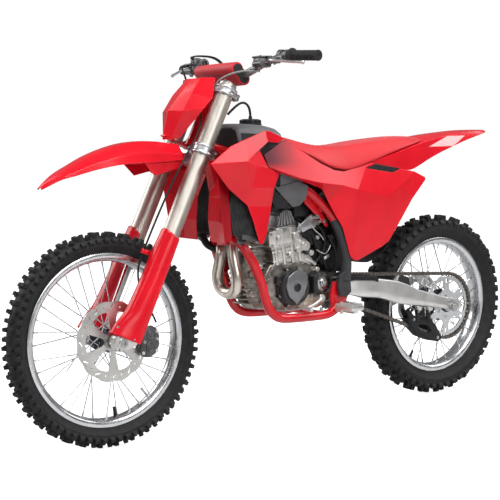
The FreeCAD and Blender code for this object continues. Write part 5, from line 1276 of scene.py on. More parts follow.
def side_panels():
    left = bmesh.new()
    panel(left, SIDE_PANEL, SIDE_PANEL_FACETS, 3.2, mirror=False)
    right = turned_over(left)
    bmesh.ops.bisect_plane(right, geom=right.verts[:] + right.edges[:] + right.faces[:], dist=0.01,
                           plane_co=(545, 0, 700), plane_no=(0.28, 0, -1), clear_outer=True)
    bmesh.ops.edgeloop_fill(right, edges=[edge for edge in right.edges if edge.is_boundary])
    weld(left, right)
    # The side panels' finish darkens their upper front towards maroon: painted shade under the shroud.
    piece("side_number_panels", left, "panel_graded", "ground", ("side_panels",), ease=2.4,
                  angle=5)
    slot = bmesh.new()
    louvre = {"a": (459, 117, 873), "b": (409, 111, 886), "c": (276, 103, 866), "d": (323, 110, 850)}
    panel(slot, louvre, ["a b c d"], 3.0)
    piece("side_vents", slot, "plastic_black", "ground", ease=1.0)


TANK_STATIONS = [
    # x, top, flat half, shoulder, shoulder height, side, side height, low, low height
    (1000, 1018, 36, 68, 1000, 76, 950, 58, 935), (990, 1024, 44, 78, 1002, 88, 930, 74, 905),
    (960, 1030, 50, 92, 1000, 100, 900, 92, 850), (920, 1029, 52, 96, 996, 104, 884, 100, 814),
    (880, 1026, 52, 96, 990, 106, 870, 104, 790), (840, 1018, 50, 94, 980, 106, 858, 104, 770),
    (818, 1012, 50, 92, 975, 106, 850, 104, 762), (806, 962, 50, 92, 940, 106, 850, 104, 762),
    (770, 940, 46, 88, 925, 105, 850, 103, 780), (738, 922, 42, 84, 912, 102, 850, 100, 802),
]


def tank():
    form = bmesh.new()
    rings = []
    for x, top, flat, shoulder, up, side, side_up, low, low_up in TANK_STATIONS:
        half = [(0, top + 1), (flat, top), (flat + (shoulder - flat) * 0.7, top - (top - up) * 0.4),
                (shoulder, up), (side, (up + side_up) / 2), (side, side_up), (low, low_up),
                (low * 0.5, low_up - 4)]
        ring = [(x, y, z) for y, z in half] + [(x, 0, low_up - 4)]
        rings.append(ring + [(x, -y, z) for y, z in reversed(half[1:])])
    loft(form, rings)
    # Faces of the tank's lower front, inside the shrouds, take the black finish: painted shade.
    paint(form, 1, lambda at, face: at.z < 985 and at.x > 830)
    piece("fuel_tank_shell", form, ["tank_grey", "plastic_black"], "ground", ("fuel_tank",), ease=4.0,
          angle=22)
    knee = bmesh.new()
    panel(knee, {"a": (872, 107, 826), "b": (854, 110, 818), "c": (764, 110, 836), "d": (716, 106, 818),
                 "e": (725, 106, 774), "f": (757, 109, 750), "g": (790, 111, 748), "h": (856, 112, 806)},
          ["a b h", "b c g h", "c d e f", "c f g"], 4.0)
    piece("tank_knee_facets", knee, "knee_grey", "ground", ease=1.6, angle=4)
    under = bmesh.new()
    panel(under, {"a": (872, 104, 822), "b": (856, 108, 802), "c": (790, 107, 744), "d": (757, 105, 746),
                  "e": (762, 99, 745), "f": (800, 98, 742), "g": (856, 98, 744), "h": (884, 98, 790)},
          ["a b h", "b g h", "b c g", "c f g", "c d e f"], 4.0)
    piece("tank_belly_cover", under, "plastic_black", "ground", ease=1.6, angle=4)
    cap = bmesh.new()
    turned(cap, [(0, 1021), (36, 1021), (38, 1023), (38, 1031), (36, 1033), (33, 1034), (33, 1042),
                 (31, 1045), (24, 1046), (0, 1046)], along_z(886, 0), 48)
    for turn in round_places(12, "Z"):
        block(cap, Vector((886, 0, 0)) + turn @ Vector((34, 0, 1037)), (6, 9, 12), turn, 1.5)
    rod(cap, (886, 0, 1044), (886, 0, 1056), 7, 5.5)
    piece("filler_cap", cap, "plastic_black", "ground", ("fuel_cap",), ease=0.8)
    hose = bmesh.new()
    tube(hose, [(886, 0, 1052), (886, 0, 1080), (912, 4, 1104), (950, 8, 1096), (985, 2, 1062)], 4.2, 12,
         steps=12)
    piece("filler_vent_hose", hose, "hose_rubber", "ground", ("vent_hose",))


SEAT_STATIONS = [
    # x, top, half width of the top, half width at the seam, seam height
    (808, 980, 34, 62, 972), (800, 984, 42, 76, 968), (785, 984, 47, 86, 960), (760, 979, 52, 96, 946),
    (720, 969, 56, 104, 927), (680, 960, 58, 108, 910), (640, 953, 62, 111, 890), (600, 949, 64, 113, 876),
    (540, 948, 68, 113, 866), (490, 951, 70, 112, 874), (440, 957, 72, 110, 888), (385, 963, 72, 109, 904),
    (330, 968, 72, 107, 920), (275, 972, 70, 104, 934), (220, 975, 67, 99, 947), (180, 975, 62, 92, 956),
    (150, 973, 54, 80, 962), (138, 969, 44, 66, 963),
]


def seat():
    form = bmesh.new()
    rings = []
    for x, top, flat, half, seam in between(SEAT_STATIONS, 3):
        drop = top - seam
        side = [(0, top + 3.5), (flat * 0.5, top + 3), (flat * 0.86, top + 1), (flat + 1.5, top - 2.5),
                (flat + (half - flat) * 0.42, top - drop * 0.32),
                (flat + (half - flat) * 0.8, top - drop * 0.66), (half + 0.8, seam + 2.5),
                (half - 2, seam - 1.5), (half * 0.7, seam - 3)]
        rings.append([(x, y, z) for y, z in side] + [(x, 0, seam - 3)]
                     + [(x, -y, z) for y, z in reversed(side[1:])])
    loft(form, rings)
    thing = piece("seat_cover", form, "seat_red", "ground", ("seat",), subdivide=1)


TAIL_STATIONS = [
    # x, low y and z, shoulder y and z, inner y and z, ridge height
    (462, 99, 877, 99, 882, 92, 884, 880), (415, 99, 882, 100, 893, 92, 895, 890),
    (340, 99, 870, 101, 908, 92, 911, 904), (300, 99, 864, 101, 918, 92, 921, 914),
    (222, 98, 858, 97, 938, 86, 942, 936), (165, 95, 876, 90, 950, 76, 955, 950),
    (130, 92, 890, 84, 957, 52, 965, 966), (60, 84, 914, 74, 968, 42, 976, 978),
    (-20, 74, 936, 62, 978, 36, 984, 986), (-100, 60, 956, 50, 985, 28, 990, 992),
    (-180, 44, 972, 36, 990, 20, 993, 994), (-250, 25, 984, 18, 991, 9, 993, 993.5),
    (-268, 12, 988, 9, 991, 4, 992, 992.5),
]


def tail():
    form = bmesh.new()
    rows = []
    for x, ly, lz, sy, sz, iy, iz, ridge in between(TAIL_STATIONS, 3):
        left = [(x, ly, lz), (x, (ly + sy) / 2 + 0.8, (lz + sz) / 2), (x, sy, sz), (x, iy, iz),
                (x, iy * 0.5, ridge)]
        rows.append(left + [(x, 0, ridge)] + [(p[0], -p[1], p[2]) for p in reversed(left)])
    shell(form, rows, 3.2)
    bmesh.ops.recalc_face_normals(form, faces=form.faces)
    piece("rear_mudguard", form, "tail_red", "ground", ("rear_fender",), ease=1.6, angle=24)


def airbox():
    form = bmesh.new()
    rings = []
    for z, front, back, half in ((880, 510, 200, 84), (850, 520, 215, 92), (800, 520, 250, 96),
                                 (740, 505, 290, 96), (700, 490, 330, 92), (672, 480, 350, 84)):
        rings.append([(front, -half * 0.8, z), (front - 26, -half, z), (back + 20, -half, z),
                      (back, -half * 0.8, z), (back, half * 0.8, z), (back + 20, half, z),
                      (front - 26, half, z), (front, half * 0.8, z)])
    loft(form, rings)
    tube(form, [(505, 0, 728), (540, 0, 722), (580, 0, 706), (604, 0, 690)], 32, 32, [1.2, 1.0, 0.95, 0.9])
    rows = []
    for x, z in between([(236, 704), (262, 640), (304, 576), (352, 545), (392, 532)], 4):
        rows.append([(x, 60, z), (x + 4, 30, z - 3), (x + 5, 0, z - 4), (x + 4, -30, z - 3), (x, -60, z)])
    shell(form, rows, 4)
    bmesh.ops.recalc_face_normals(form, faces=form.faces)
    for side in (1, -1):
        block(form, (340, side * 92, 768), (180, 10, 70), Matrix.Rotation(0.25, 4, "Y"), 4)
    piece("airbox_moulding", form, "plastic_black", "ground", ("airbox",), ease=3.0, angle=30)


class BIKE_OT_bodywork(bpy.types.Operator):
    """Build the radiator shrouds, the side panels, the rear mudguard and the airbox"""

    bl_idname = "bike.bodywork"
    bl_label = "Bodywork"

    def execute(self, context):
        shrouds()
        side_panels()
        tail()
        airbox()
        return {"FINISHED"}


class BIKE_OT_tank_and_seat(bpy.types.Operator):
    """Build the fuel tank with its cap and hose, and the padded seat"""

    bl_idname = "bike.tank_and_seat"
    bl_label = "Tank and Seat"

    def execute(self, context):
        tank()
        seat()
        return {"FINISHED"}


# Frame and engine.
CRANK = (753, 468)
CLUTCH = (678, 468)
DRIVE_SHAFT = (622, 473)
ARM_PIVOT = (552, 448)
LEAN = math.radians(8)


def engine_place(forward, up):
    """An (x, z) place measured from the crank along the leaning cylinder."""
    return (CRANK[0] + forward * math.cos(LEAN) + up * math.sin(LEAN),
            CRANK[1] - forward * math.sin(LEAN) + up * math.cos(LEAN))


def leaning(outline):
    """An outline carried from the cylinder's own axes to side view."""
    return [engine_place(u, w) for u, w in outline]


RAIL = [(1098, 16, 966), (905, 46, 904), (768, 71, 838), (690, 83, 794), (638, 91, 750), (596, 99, 704),
        (568, 105, 655), (548, 107, 600), (538, 107, 550), (540, 107, 505), (548, 107, 466)]
CRADLE_TUBE = [(1012, 10, 668), (1000, 52, 652), (980, 82, 620), (956, 95, 578), (933, 99, 530),
               (914, 100, 488), (904, 100, 448), (884, 100, 400), (846, 100, 370), (790, 99, 364),
               (680, 97, 362), (620, 96, 362), (590, 97, 372), (568, 98, 388)]


def frame_tubes():
    spine = bmesh.new()
    for line in (RAIL, mirrored(RAIL)):
        tube(spine, line, 16, 28, steps=10)
    cross_rod(spine, 640, 735, -92, 92, 12, sides=28)
    plate(spine, [(1086, 972), (1000, 928), (1010, 898), (1060, 898)], -9, 9, 3)
    for side in (1, -1):
        plate(spine, [(704, 792), (660, 756), (612, 700), (598, 674), (608, 668), (636, 698), (672, 726),
                      (710, 758)], side * 76 - 4, side * 76 + 4, 2)
    low = steer_point(0, 0, 701)
    high = steer_point(0, 0, 870)
    rod(spine, low, high, 29, sides=48)
    for foot, head in ((0.0, 0.12), (0.88, 1.0)):
        rod(spine, low.lerp(high, foot), low.lerp(high, head), 32, sides=48)
    piece("frame_rails", spine, "frame_red", "ground", ("frame_spine",), ease=1.0)
    cradle = bmesh.new()
    tube(cradle, [(1084, 0, 955), (1060, 0, 900), (1034, 0, 780), (1012, 0, 655)], 20, 32, steps=8)
    for line in (CRADLE_TUBE, mirrored(CRADLE_TUBE)):
        tube(cradle, line, 16, 28, steps=10)
    for side in (1, -1):
        y = side * 95
        plate(cradle, [(528, 474), (590, 476), (604, 430), (594, 372), (548, 370), (524, 420)], y - 7,
              y + 7, 2.5)
        plate(cradle, [(962, 578), (912, 560), (902, 548), (908, 534), (930, 510), (950, 540)], side * 84 - 4,
              side * 84 + 4, 1.5)
    cross_rod(cradle, 640, 366, -90, 90, 11, sides=24)
    cross_rod(cradle, *ARM_PIVOT, -112, 112, 9, sides=24)
    plate(cradle, [(1034, 690), (1000, 690), (985, 640), (1010, 622)], -26, 26, 5)
    piece("frame_lower_cradle", cradle, "frame_red", "ground", ("frame_cradle",), ease=1.0)
    bolts = bmesh.new()
    for side in (1, -1):
        cross_rod(bolts, *ARM_PIVOT, side * 102, side * 112, 15, 14, sides=6)
        bolt(bolts, (552, side * 112, 448), (0, side, 0), 9, 7)
        bolt(bolts, (914, side * 88, 550), (0, side, 0), 7, 7)
        bolt(bolts, (648, side * 98, 384), (0, side, 0), 6, 6)
    piece("frame_bolts", bolts, "bolt_steel", "ground")


COVER_LINE = [(592, 100, 697), (568, 105, 655), (548, 107, 600), (538, 107, 550), (539, 107, 512),
              (544, 107, 480)]
FOOT_COVER = [(580, 500), (554, 514), (530, 486), (526, 438), (549, 420), (578, 428), (586, 462)]


def frame_covers():
    form = bmesh.new()
    own = bmesh.new()
    tube(own, COVER_LINE, 18.8, 28, [0.97, 1.0, 1.0, 1.0, 1.03, 1.1], steps=10)
    plate(own, FOOT_COVER, 106, 123, 4, steps=3)
    cross_rod(own, 552, 452, 122, 125, 11, 10)
    cross_rod(own, 560, 482, 122, 124.5, 5, 4.5)
    both_sides(form, own)
    piece("frame_upright_covers", form, "guard_black", "ground", ("frame_guards",), ease=0.8)
    tubes = bmesh.new()
    for side in (1, -1):
        tube(tubes, [(645, side * 70, 772), (430, side * 70, 846), (240, side * 62, 902),
                     (70, side * 44, 936)], 10, 20, steps=8)
        tube(tubes, [(560, side * 84, 626), (480, side * 81, 680), (400, side * 78, 740),
                     (250, side * 62, 872)], 9, 20, steps=8)
    for x, z in ((250, 899), (90, 932)):
        cross_rod(tubes, x, z, -60, 60, 7)
    piece("seat_subframe", tubes, "dark_metal", "ground", ("subframe",))


def bolt_row(form, places, y, radius, height):
    """Bolts at (x, z) places on one side of the bike."""
    for x, z in places:
        bolt(form, (x, y, z), (0, math.copysign(1, y), 0), radius, height)


def crankcase():
    form = bmesh.new()
    body = [(548, 440), (552, 470), (572, 494), (612, 512), (640, 534), (700, 556), (770, 560), (838, 548),
            (862, 522), (870, 480), (866, 424), (846, 400), (815, 385), (740, 380), (660, 380), (600, 392),
            (566, 412)]
    plate(form, body, -52, 52, 8, steps=3)
    plate(form, [(x + (x - 710) * 0.015, z + (z - 466) * 0.03) for x, z in body], -3, 3, 1)
    for y, reach in ((52, 57), (-52, -57)):
        plate(form, [(640, 530), (700, 552), (838, 544), (862, 500), (860, 430), (812, 392), (664, 388),
                     (636, 420)], min(y, reach), max(y, reach), 2)
    for x, z, radius in ((858, 507, 16), (846, 430, 12), (650, 524, 11), (606, 500, 10), (584, 414, 11)):
        turned(form, [(0, 50), (radius, 50), (radius, 59), (radius - 2, 61), (radius * 0.55, 61),
                      (radius * 0.5, 58), (0, 58)], along_y(x, z), 28)
    cross_rod(form, 610, 430, 44, 60, 20, sides=32)
    cross_rod(form, 612, 430, -60, 60, 12, sides=24)
    mass = [(850, 602), (892, 606), (928, 592), (944, 566), (944, 520), (934, 470), (918, 426), (896, 398),
            (850, 392)]
    plate(form, mass, -34, 30, 8, steps=3)
    for i in range(11):
        z = 414 + i * 17
        reach = 925 + 26 * math.sin(math.pi * (i + 1.5) / 13)
        plate(form, [(846, z), (reach, z + 2), (reach - 1, z + 7), (846, z + 6)], -38, 35, 1.2)
    for z, out in ((570, 12), (520, 15), (450, 13)):
        turned(form, [(0, 28), (out, 28), (out, 37), (out - 2, 39), (out * 0.5, 39), (out * 0.45, 36),
                      (0, 36)], along_y(905, z), 24)
    piece("engine_crankcase", form, "engine_bronze", "ground", ease=1.2)
    lower = bmesh.new()
    plate(lower, [(742, 438), (726, 398), (700, 384), (668, 384), (656, 404), (668, 432), (700, 446)], 57,
          68, 3)
    turned(lower, [(0, 66), (17, 66), (17, 72), (15, 74), (7, 74), (6, 72), (0, 72)], along_y(705, 410), 32)
    plate(lower, [(668, 436), (640, 440), (604, 424), (600, 396), (636, 384), (668, 388)], 57, 64, 3)
    piece("engine_lower_covers", lower, "engine_pale", "ground", ease=1.0)


def side_covers():
    ring = bmesh.new()
    place = along_y(*CRANK)
    turned(ring, [(0, 56), (66, 56), (68, 58), (68, 66), (65, 68), (64, 82), (60, 88), (50, 90), (48, 88),
                  (0, 88)], place, 72)
    plate(ring, leaning([(-30, 40), (20, 60), (66, 50), (74, 26), (60, 10), (-20, 10)]), 56, 74, 4)
    for x, z in circle(66, 8, CRANK, math.radians(20)):
        cross_rod(ring, x, z, 56, 72, 8, 7.4)
    turned(ring, [(0, 86), (15, 86), (15, 94), (13, 96), (10, 96), (9, 93.5), (5, 93.5), (4, 90), (0, 90)],
           place, 40)
    piece("ignition_cover", ring, "engine_dark", "ground", ease=1.0)
    shield = bmesh.new()
    plate(shield, [(731, 530), (708, 515), (704, 480), (720, 440), (752, 408), (788, 438), (802, 474),
                   (792, 507), (764, 524)], 86, 94, 3.5)
    piece("ignition_shield", shield, "shield_grey", "ground", ease=1.0)
    plug = bmesh.new()
    turned(plug, [(0, 90), (15, 90), (15.5, 96), (13.5, 97.6), (10.5, 97.6), (9.5, 94.6), (0, 94.6)],
           place, 40)
    cross_rod(plug, *CRANK, 93, 96, 5.5, sides=6)
    piece("ignition_plug", plug, "engine_dark", "ground")
    bolts = bmesh.new()
    bolt_row(bolts, circle(66, 8, CRANK, math.radians(20)), 72, 3.8, 4.5)
    bolt_row(bolts, ((838, 538), (866, 470), (850, 404), (780, 388), (660, 392), (610, 404), (566, 430),
                     (560, 460), (590, 496), (636, 524), (700, 548)), 57, 4.6, 5)
    bolt_row(bolts, ((726, 410), (668, 396), (672, 428), (708, 440)), 68, 3.6, 4)
    bolt_row(bolts, ((612, 400), (648, 432)), 64, 3.6, 4)
    bolt_row(bolts, ((866, 470), (850, 404), (780, 388)), -57, 4.6, 5)
    bolt_row(bolts, circle(70, 9, CLUTCH, math.radians(15)), -74, 4.2, 5)
    piece("engine_bolts", bolts, "bolt_steel", "ground")
    right = bmesh.new()
    turned(right, [(0, -56), (74, -56), (76, -58), (76, -72), (72, -76), (68, -98), (62, -104), (54, -106),
                   (50, -112), (44, -117), (36, -118), (34, -115), (0, -115)], along_y(*CLUTCH), 72)
    for x, z in circle(70, 9, CLUTCH, math.radians(15)):
        cross_rod(right, x, z, -60, -74, 9, 8.4)
    turned(right, [(0, -56), (38, -56), (38, -70), (34, -78), (24, -84), (20, -90), (0, -90)],
           along_y(802, 440), 48)
    tube(right, [(802, -84, 440), (812, -94, 452), (838, -96, 480), (862, -96, 520), (884, -98, 580)], 10, 20)
    piece("clutch_cover", right, "engine_dark", "ground", ("engine_cases",), ease=1.0)


def cylinder_and_head():
    form = bmesh.new()
    plate(form, leaning([(-66, 56), (56, 56), (58, 72), (54, 76), (54, 84), (58, 88), (58, 146), (-72, 146),
                         (-72, 88), (-68, 84), (-68, 76), (-68, 72)]), -50, 50, 4)
    plate(form, leaning([(-78, 148), (64, 148), (70, 156), (70, 196), (62, 204), (-70, 204), (-80, 196),
                         (-80, 156)]), -54, 54, 5)
    plate(form, leaning([(-80, 142), (66, 142), (66, 150), (-80, 150)]), -56, 56, 1.5)
    plate(form, leaning([(-58, 204), (30, 204), (30, 210), (-58, 210)]), -50, 50, 1.5)
    for u, near, far in ((-62, 78, 205), (-30, 78, 205), (8, 60, 205), (42, 60, 205)):
        for side in (1, -1):
            low = engine_place(u, near)
            high = engine_place(u, far)
            rod(form, (low[0], side * 46, low[1]), (high[0], side * 46, high[1]), 9, 9, sides=24)
    for w in (96, 128, 170, 186):
        plate(form, leaning([(-76, w), (62, w), (62, w + 3.5), (-76, w + 3.5)]), -53, 53, 1)
    for u, w, radius in ((-48, 170, 15), (-54, 120, 12), (26, 176, 11), (-14, 112, 9)):
        x, z = engine_place(u, w)
        turned(form, [(0, 50), (radius, 50), (radius, 60), (radius - 2, 62), (0, 62)], along_y(x, z), 28)
    port = engine_place(60, 178)
    mouth = engine_place(93, 184)
    rod(form, (port[0], 0, port[1]), (mouth[0], 0, mouth[1]), 26, sides=40)
    start = engine_place(-50, 178)
    stop = engine_place(-88, 190)
    rod(form, (start[0], 26, start[1]), (stop[0], 26, stop[1]), 27, sides=40)
    paint(form, 1, lambda at, face: face.normal.x > 0.72)
    piece("cylinder_block", form, ["engine_silver", "engine_bronze"], "ground", ("cylinder",), ease=1.2)
    cover = bmesh.new()
    plate(cover, leaning([(-68, 206), (20, 206), (18, 214), (6, 248), (-8, 258), (-42, 257), (-54, 242),
                          (-66, 214)]), -36, 36, 5, steps=3)
    for i in range(6):
        low = -64 + 16 * i
        top = -46 + 8 * i
        tall = 266 - 1.2 * abs(i - 2.5) ** 2
        plate(cover, leaning([(low - 4, 208), (low + 4, 208), (top + 3, tall), (top - 3, tall)]), -42,
              42, 1.6)
    piece("valve_cover_ribbed", cover, "head_grey", "ground", ease=1.0)
    bolts = bmesh.new()
    for u, w in ((-72, 198), (-72, 156), (60, 196), (60, 156), (-4, 198)):
        for y in (55, -55):
            bolt_row(bolts, [engine_place(u, w)], y, 4.2, 5)
    bolt_row(bolts, leaning([(-62, 208), (34, 208)]), 44, 4, 7)
    piece("head_bolts", bolts, "bolt_steel", "ground")


def engine_fittings():
    stays = bmesh.new()
    heads = bmesh.new()
    for side in (1, -1):
        near = side * 60
        plate(stays, [(604, 694), (616, 700), (652, 716), (664, 716), (700, 690), (726, 672), (728, 656),
                      (706, 652), (676, 664), (640, 668)], near - 3.4, near + 3, 1.2)
        for x, z in ((652, 707), (617, 690)):
            cross_rod(heads, x, z, side * 60, side * 81, 7.5, sides=24)
            bolt(heads, (x, side * 81, z), (0, side, 0), 5, 5)
        bolt(heads, (714, side * 63, 664), (0, side, 0), 5, 5)
    piece("head_stays", stays, "clamp_silver", "ground", ("engine_stays",), ease=0.6)
    piece("head_stay_bolts", heads, "bolt_steel", "ground")
    silver = bmesh.new()
    cross_rod(silver, 688, 606, 34, 66, 17, sides=36)
    cross_rod(silver, 716, 622, 30, 62, 12, 11, sides=32)
    plate(silver, [(736, 632), (700, 636), (676, 624), (674, 600), (700, 588), (734, 596)], 44, 60, 3)
    plate(silver, [(700, 580), (664, 570), (648, 552), (660, 536), (700, 552)], 44, 58, 3)
    tube(silver, [(690, 60, 560), (664, 66, 552), (648, 64, 540)], 7, 16)
    cross_rod(silver, 660, 580, 46, 62, 11, 10, sides=28)
    cross_rod(silver, 632, 632, 52, 62, 7, sides=20)
    tube(silver, [(672, 60, 690), (655, 66, 660), (620, 66, 640), (598, 64, 610)], 2.4, 10)
    tube(silver, [(640, 64, 590), (610, 68, 570), (585, 64, 580), (566, 60, 610)], 2.4, 10)
    block(silver, (590, 58, 560), (26, 10, 12), Matrix.Rotation(0.4, 4, "Y"), 3)
    block(silver, (566, 56, 626), (14, 10, 24), None, 3)
    cross_rod(silver, 634, 520, 50, 64, 10, 9, sides=24)
    bolt(silver, (688, 66, 606), (0, 1, 0), 6, 6)
    bolt(silver, (716, 62, 622), (0, 1, 0), 4.5, 5)
    piece("engine_fittings", silver, "engine_silver", "ground", ease=1.0)
    dark = bmesh.new()
    cross_rod(dark, 677, 655, 2, 50, 31, sides=48)
    cross_rod(dark, 677, 655, 50, 56, 24, 20, sides=48)
    block(dark, (640, 24, 640), (60, 60, 56), Matrix.Rotation(0.5, 4, "Y"), 8)
    block(dark, (600, 30, 600), (70, 50, 34), Matrix.Rotation(-0.4, 4, "Y"), 8)
    cross_rod(dark, 592, 560, -20, 58, 30, sides=40)
    cross_rod(dark, 640, 566, -20, 50, 20, sides=40)
    block(dark, (560, 0, 530), (40, 90, 60), None, 10)
    tube(dark, [(664, 40, 690), (630, 62, 676), (606, 68, 640), (602, 66, 600), (626, 62, 560),
                (650, 58, 534)], 5, 14)
    tube(dark, [(700, 30, 700), (660, 54, 660), (640, 60, 610), (610, 60, 560), (590, 60, 520)], 6, 14)
    tube(dark, [(590, 66, 640), (560, 72, 600), (548, 70, 540), (560, 66, 500)], 7, 14)
    tube(dark, [(712, 46, 700), (726, 56, 690), (720, 60, 660), (690, 62, 640)], 4.5, 12)
    block(dark, (790, 20, 770), (150, 120, 40), Matrix.Rotation(0.35, 4, "Y"), 12)
    block(dark, (700, 10, 735), (70, 90, 60), None, 12)
    plate(dark, [(585, 715), (520, 700), (486, 650), (476, 560), (490, 500), (560, 505), (600, 600)], -40,
          44, 10)
    block(dark, (640, 20, 700), (80, 70, 50), Matrix.Rotation(0.4, 4, "Y"), 10)
    block(dark, (600, 0, 410), (80, 80, 50), None, 8)
    for x, z in ((640, 668), (606, 640), (585, 606), (560, 640), (545, 590), (615, 575)):
        block(dark, (x, 56, z), (20, 16, 13), Matrix.Rotation(x * 0.1, 4, "Y"), 3)
    tube(dark, [(990, 104, 656), (974, 82, 650), (950, 58, 652), (920, 40, 650)], 11, 20)
    tube(dark, [(1012, -104, 650), (1014, -88, 622), (990, -70, 606), (900, -64, 560), (850, -70, 500),
                (820, -76, 456)], 13, 24)
    piece("hoses_and_throttle_body", dark, "hose_rubber", "ground", ease=1.0)


def drive_cover():
    form = bmesh.new()
    outer = [(686, 506), (640, 520), (600, 512), (580, 480), (578, 446), (600, 424), (640, 420), (676, 432),
             (690, 466)]
    plate(form, [outer, circle(34, 40, DRIVE_SHAFT)], 58, 62.6, 1.5)
    turned(form, [(34, 58), (40, 58), (40, 84), (38, 86), (35, 86), (34, 84)], along_y(*DRIVE_SHAFT), 48,
           closed=True)
    plate(form, [(674, 500), (660, 512), (656, 436), (672, 444)], 60, 92, 3)
    piece("drive_sprocket_cover", form, "engine_dark", "ground", ease=1.0)
    gear = bmesh.new()
    profile = []
    for i in range(DRIVE_TEETH * 6):
        u, w = polar((28.5, 31.0, 31.0, 28.5, 24.5, 24.5)[i % 6], 60 * i / DRIVE_TEETH)
        profile.append((DRIVE_SHAFT[0] + u, DRIVE_SHAFT[1] + w))
    plate(gear, [profile, circle(9, 24, DRIVE_SHAFT)], 72, 78, 0.8)
    turned(gear, [(9, 60), (16, 60), (16, 80), (13, 84), (9, 84)], along_y(*DRIVE_SHAFT), 36, closed=True)
    turned(gear, [(0, 80), (8.6, 80), (8.6, 86), (7.4, 87), (0, 87)], along_y(*DRIVE_SHAFT), 24)
    piece("drive_sprocket", gear, "bolt_steel", "ground", ("front_sprocket",), ease=0.5)


def oval(centre, up, wide, tall):
    """A section of the silencer."""
    return [centre + Vector((0, u, 0)) + up * w * tall / wide for u, w in circle(wide, 40)]


def exhaust():
    x, z = engine_place(101, 184)
    route = [(x, 0, z), (x + 40, 6, z + 12), (966, 18, 656), (984, 24, 616), (988, 38, 566), (988, 57, 512),
             (985, 46, 470), (982, 14, 457), (982, -14, 457), (985, -46, 470), (988, -57, 512),
             (988, -38, 566), (984, -34, 604), (966, -72, 620), (930, -112, 606), (860, -128, 606),
             (700, -134, 625), (600, -149, 650), (500, -152, 668), (474, -152, 671)]
    form = bmesh.new()
    tube(form, route, 19, 36, steps=8)
    near = Vector((*engine_place(93.3, 184), 0)).xzy
    rod(form, near, near + (Vector((x, 0, z)) - near) * 1.7, 26, sides=40)
    turned(form, [(18.9, -2.2), (20.4, -1.6), (20.4, 1.6), (18.9, 2.2)], along_y(982, 457), 40, closed=True)
    piece("header_loop", form, "header_steel", "ground", ("header_pipe",), ease=0.6)
    can = bmesh.new()
    start = Vector((469.5, -152, 672))
    along = (Vector((110, -156, 780)) - start).normalized()
    up = along.cross(Vector((0, 1, 0))).normalized()
    up *= math.copysign(1, up.z)
    rings = []
    for reach, wide, tall in ((0, 24, 24), (6, 27, 27), (30, 38, 42), (44, 44, 50), (60, 44.5, 50.5),
                              (320, 44.5, 50.5), (332, 44, 50), (352, 38, 44), (366, 30, 36), (368, 22, 26)):
        rings.append(oval(start + along * reach, up, wide, tall))
    loft(can, rings)
    for reach in (58, 318):
        loft(can, [oval(start + along * (reach + shift), up, wide, wide + 6)
                   for shift, wide in ((0, 44.6), (0.5, 45.8), (9.5, 45.8), (10, 44.6))])
    rod(can, start + along * 362, start + along * 372, 17, sides=32)
    piece("silencer_can", can, "silencer_metal", "ground", ("silencer",), ease=0.8)
    heat = bmesh.new()
    tube(heat, [(900, -136, 612), (820, -142, 618), (700, -150, 640), (620, -160, 660)], 17, 20)
    piece("header_heat_guard", heat, "guard_black", "ground")


def radiator_pair():
    core = bmesh.new()
    own = bmesh.new()
    plate(own, [(952, 652), (1068, 668), (1084, 760), (1060, 868), (988, 868)], 106, 135, 2)
    both_sides(core, own)
    piece("radiator_cores", core, "fin_black", "ground", ("radiators",))
    fins = bmesh.new()
    own = bmesh.new()
    for i in range(19):
        share = i / 18
        low = 954 + 112 * share
        middle = 971 + 110 * share
        high = 990 + 68 * share
        plate(own, [(low - 0.9, 656 + 12 * share), (low + 0.9, 656 + 12 * share), (middle + 0.9, 760),
                    (high + 0.9, 866), (high - 0.9, 866), (middle - 0.9, 760)], 104, 137.5)
    both_sides(fins, own)
    piece("radiator_fins", fins, "dark_metal", "ground")
    tanks = bmesh.new()
    own = bmesh.new()
    plate(own, [(946, 638), (1034, 654), (1032, 670), (950, 654)], 102, 142, 4)
    plate(own, [(986, 866), (1054, 866), (1048, 884), (992, 884)], 102, 142, 4)
    rod(own, (1018, 122, 650), (1012, 104, 640), 13, sides=28)
    both_sides(tanks, own)
    rod(tanks, (1022, 118, 884), (1022, 118, 893), 17, 16)
    piece("radiator_tanks", tanks, "dark_metal", "ground", ease=0.8)
    guards = bmesh.new()
    louvre = {
        "a": (1048, 30, 862), "b": (1050, 106, 868), "h": (1126, 149, 884), "i": (1132, 152, 866),
        "g": (1084, 30, 790), "c": (1086, 106, 790), "j": (1124, 151, 790), "m": (1090, 32, 713),
        "n": (1096, 99, 713), "k": (1116, 148, 705), "f": (1082, 38, 643), "p": (1090, 97, 644),
        "e": (1108, 145, 648), "q": (1094, 142, 866), "r": (1090, 141, 790), "s": (1082, 141, 705),
        "t": (1078, 141, 650),
    }
    panel(guards, louvre, ["a b c g", "b h i", "b i j c", "g c n m", "c j k n", "m n p f", "n k e p",
                           "i q r j", "j r s k", "k s t e"], 3.0)
    # Faces that turn straight sideways take the darker copy of the red: painted shade.
    paint(guards, 1, lambda at, face: abs(face.normal.y) > 0.93)
    piece("radiator_louvres", guards, ["plastic_red", "red_painted_shade"], "ground", ease=1.2, angle=12)


class BIKE_OT_frame(bpy.types.Operator):
    """Build the painted steel frame, its covers and the seat tubes"""

    bl_idname = "bike.frame"
    bl_label = "Frame"

    def execute(self, context):
        frame_tubes()
        frame_covers()
        return {"FINISHED"}


class BIKE_OT_engine(bpy.types.Operator):
    """Build the crankcase, covers, cylinder, head, stays, hoses and drive sprocket"""

    bl_idname = "bike.engine"
    bl_label = "Engine"

    def execute(self, context):
        crankcase()
        side_covers()
        cylinder_and_head()
        engine_fittings()
        drive_cover()
        return {"FINISHED"}


class BIKE_OT_exhaust(bpy.types.Operator):
    """Build the header with its hanging loop and the silencer"""

    bl_idname = "bike.exhaust"
    bl_label = "Exhaust"

    def execute(self, context):
        exhaust()
        return {"FINISHED"}


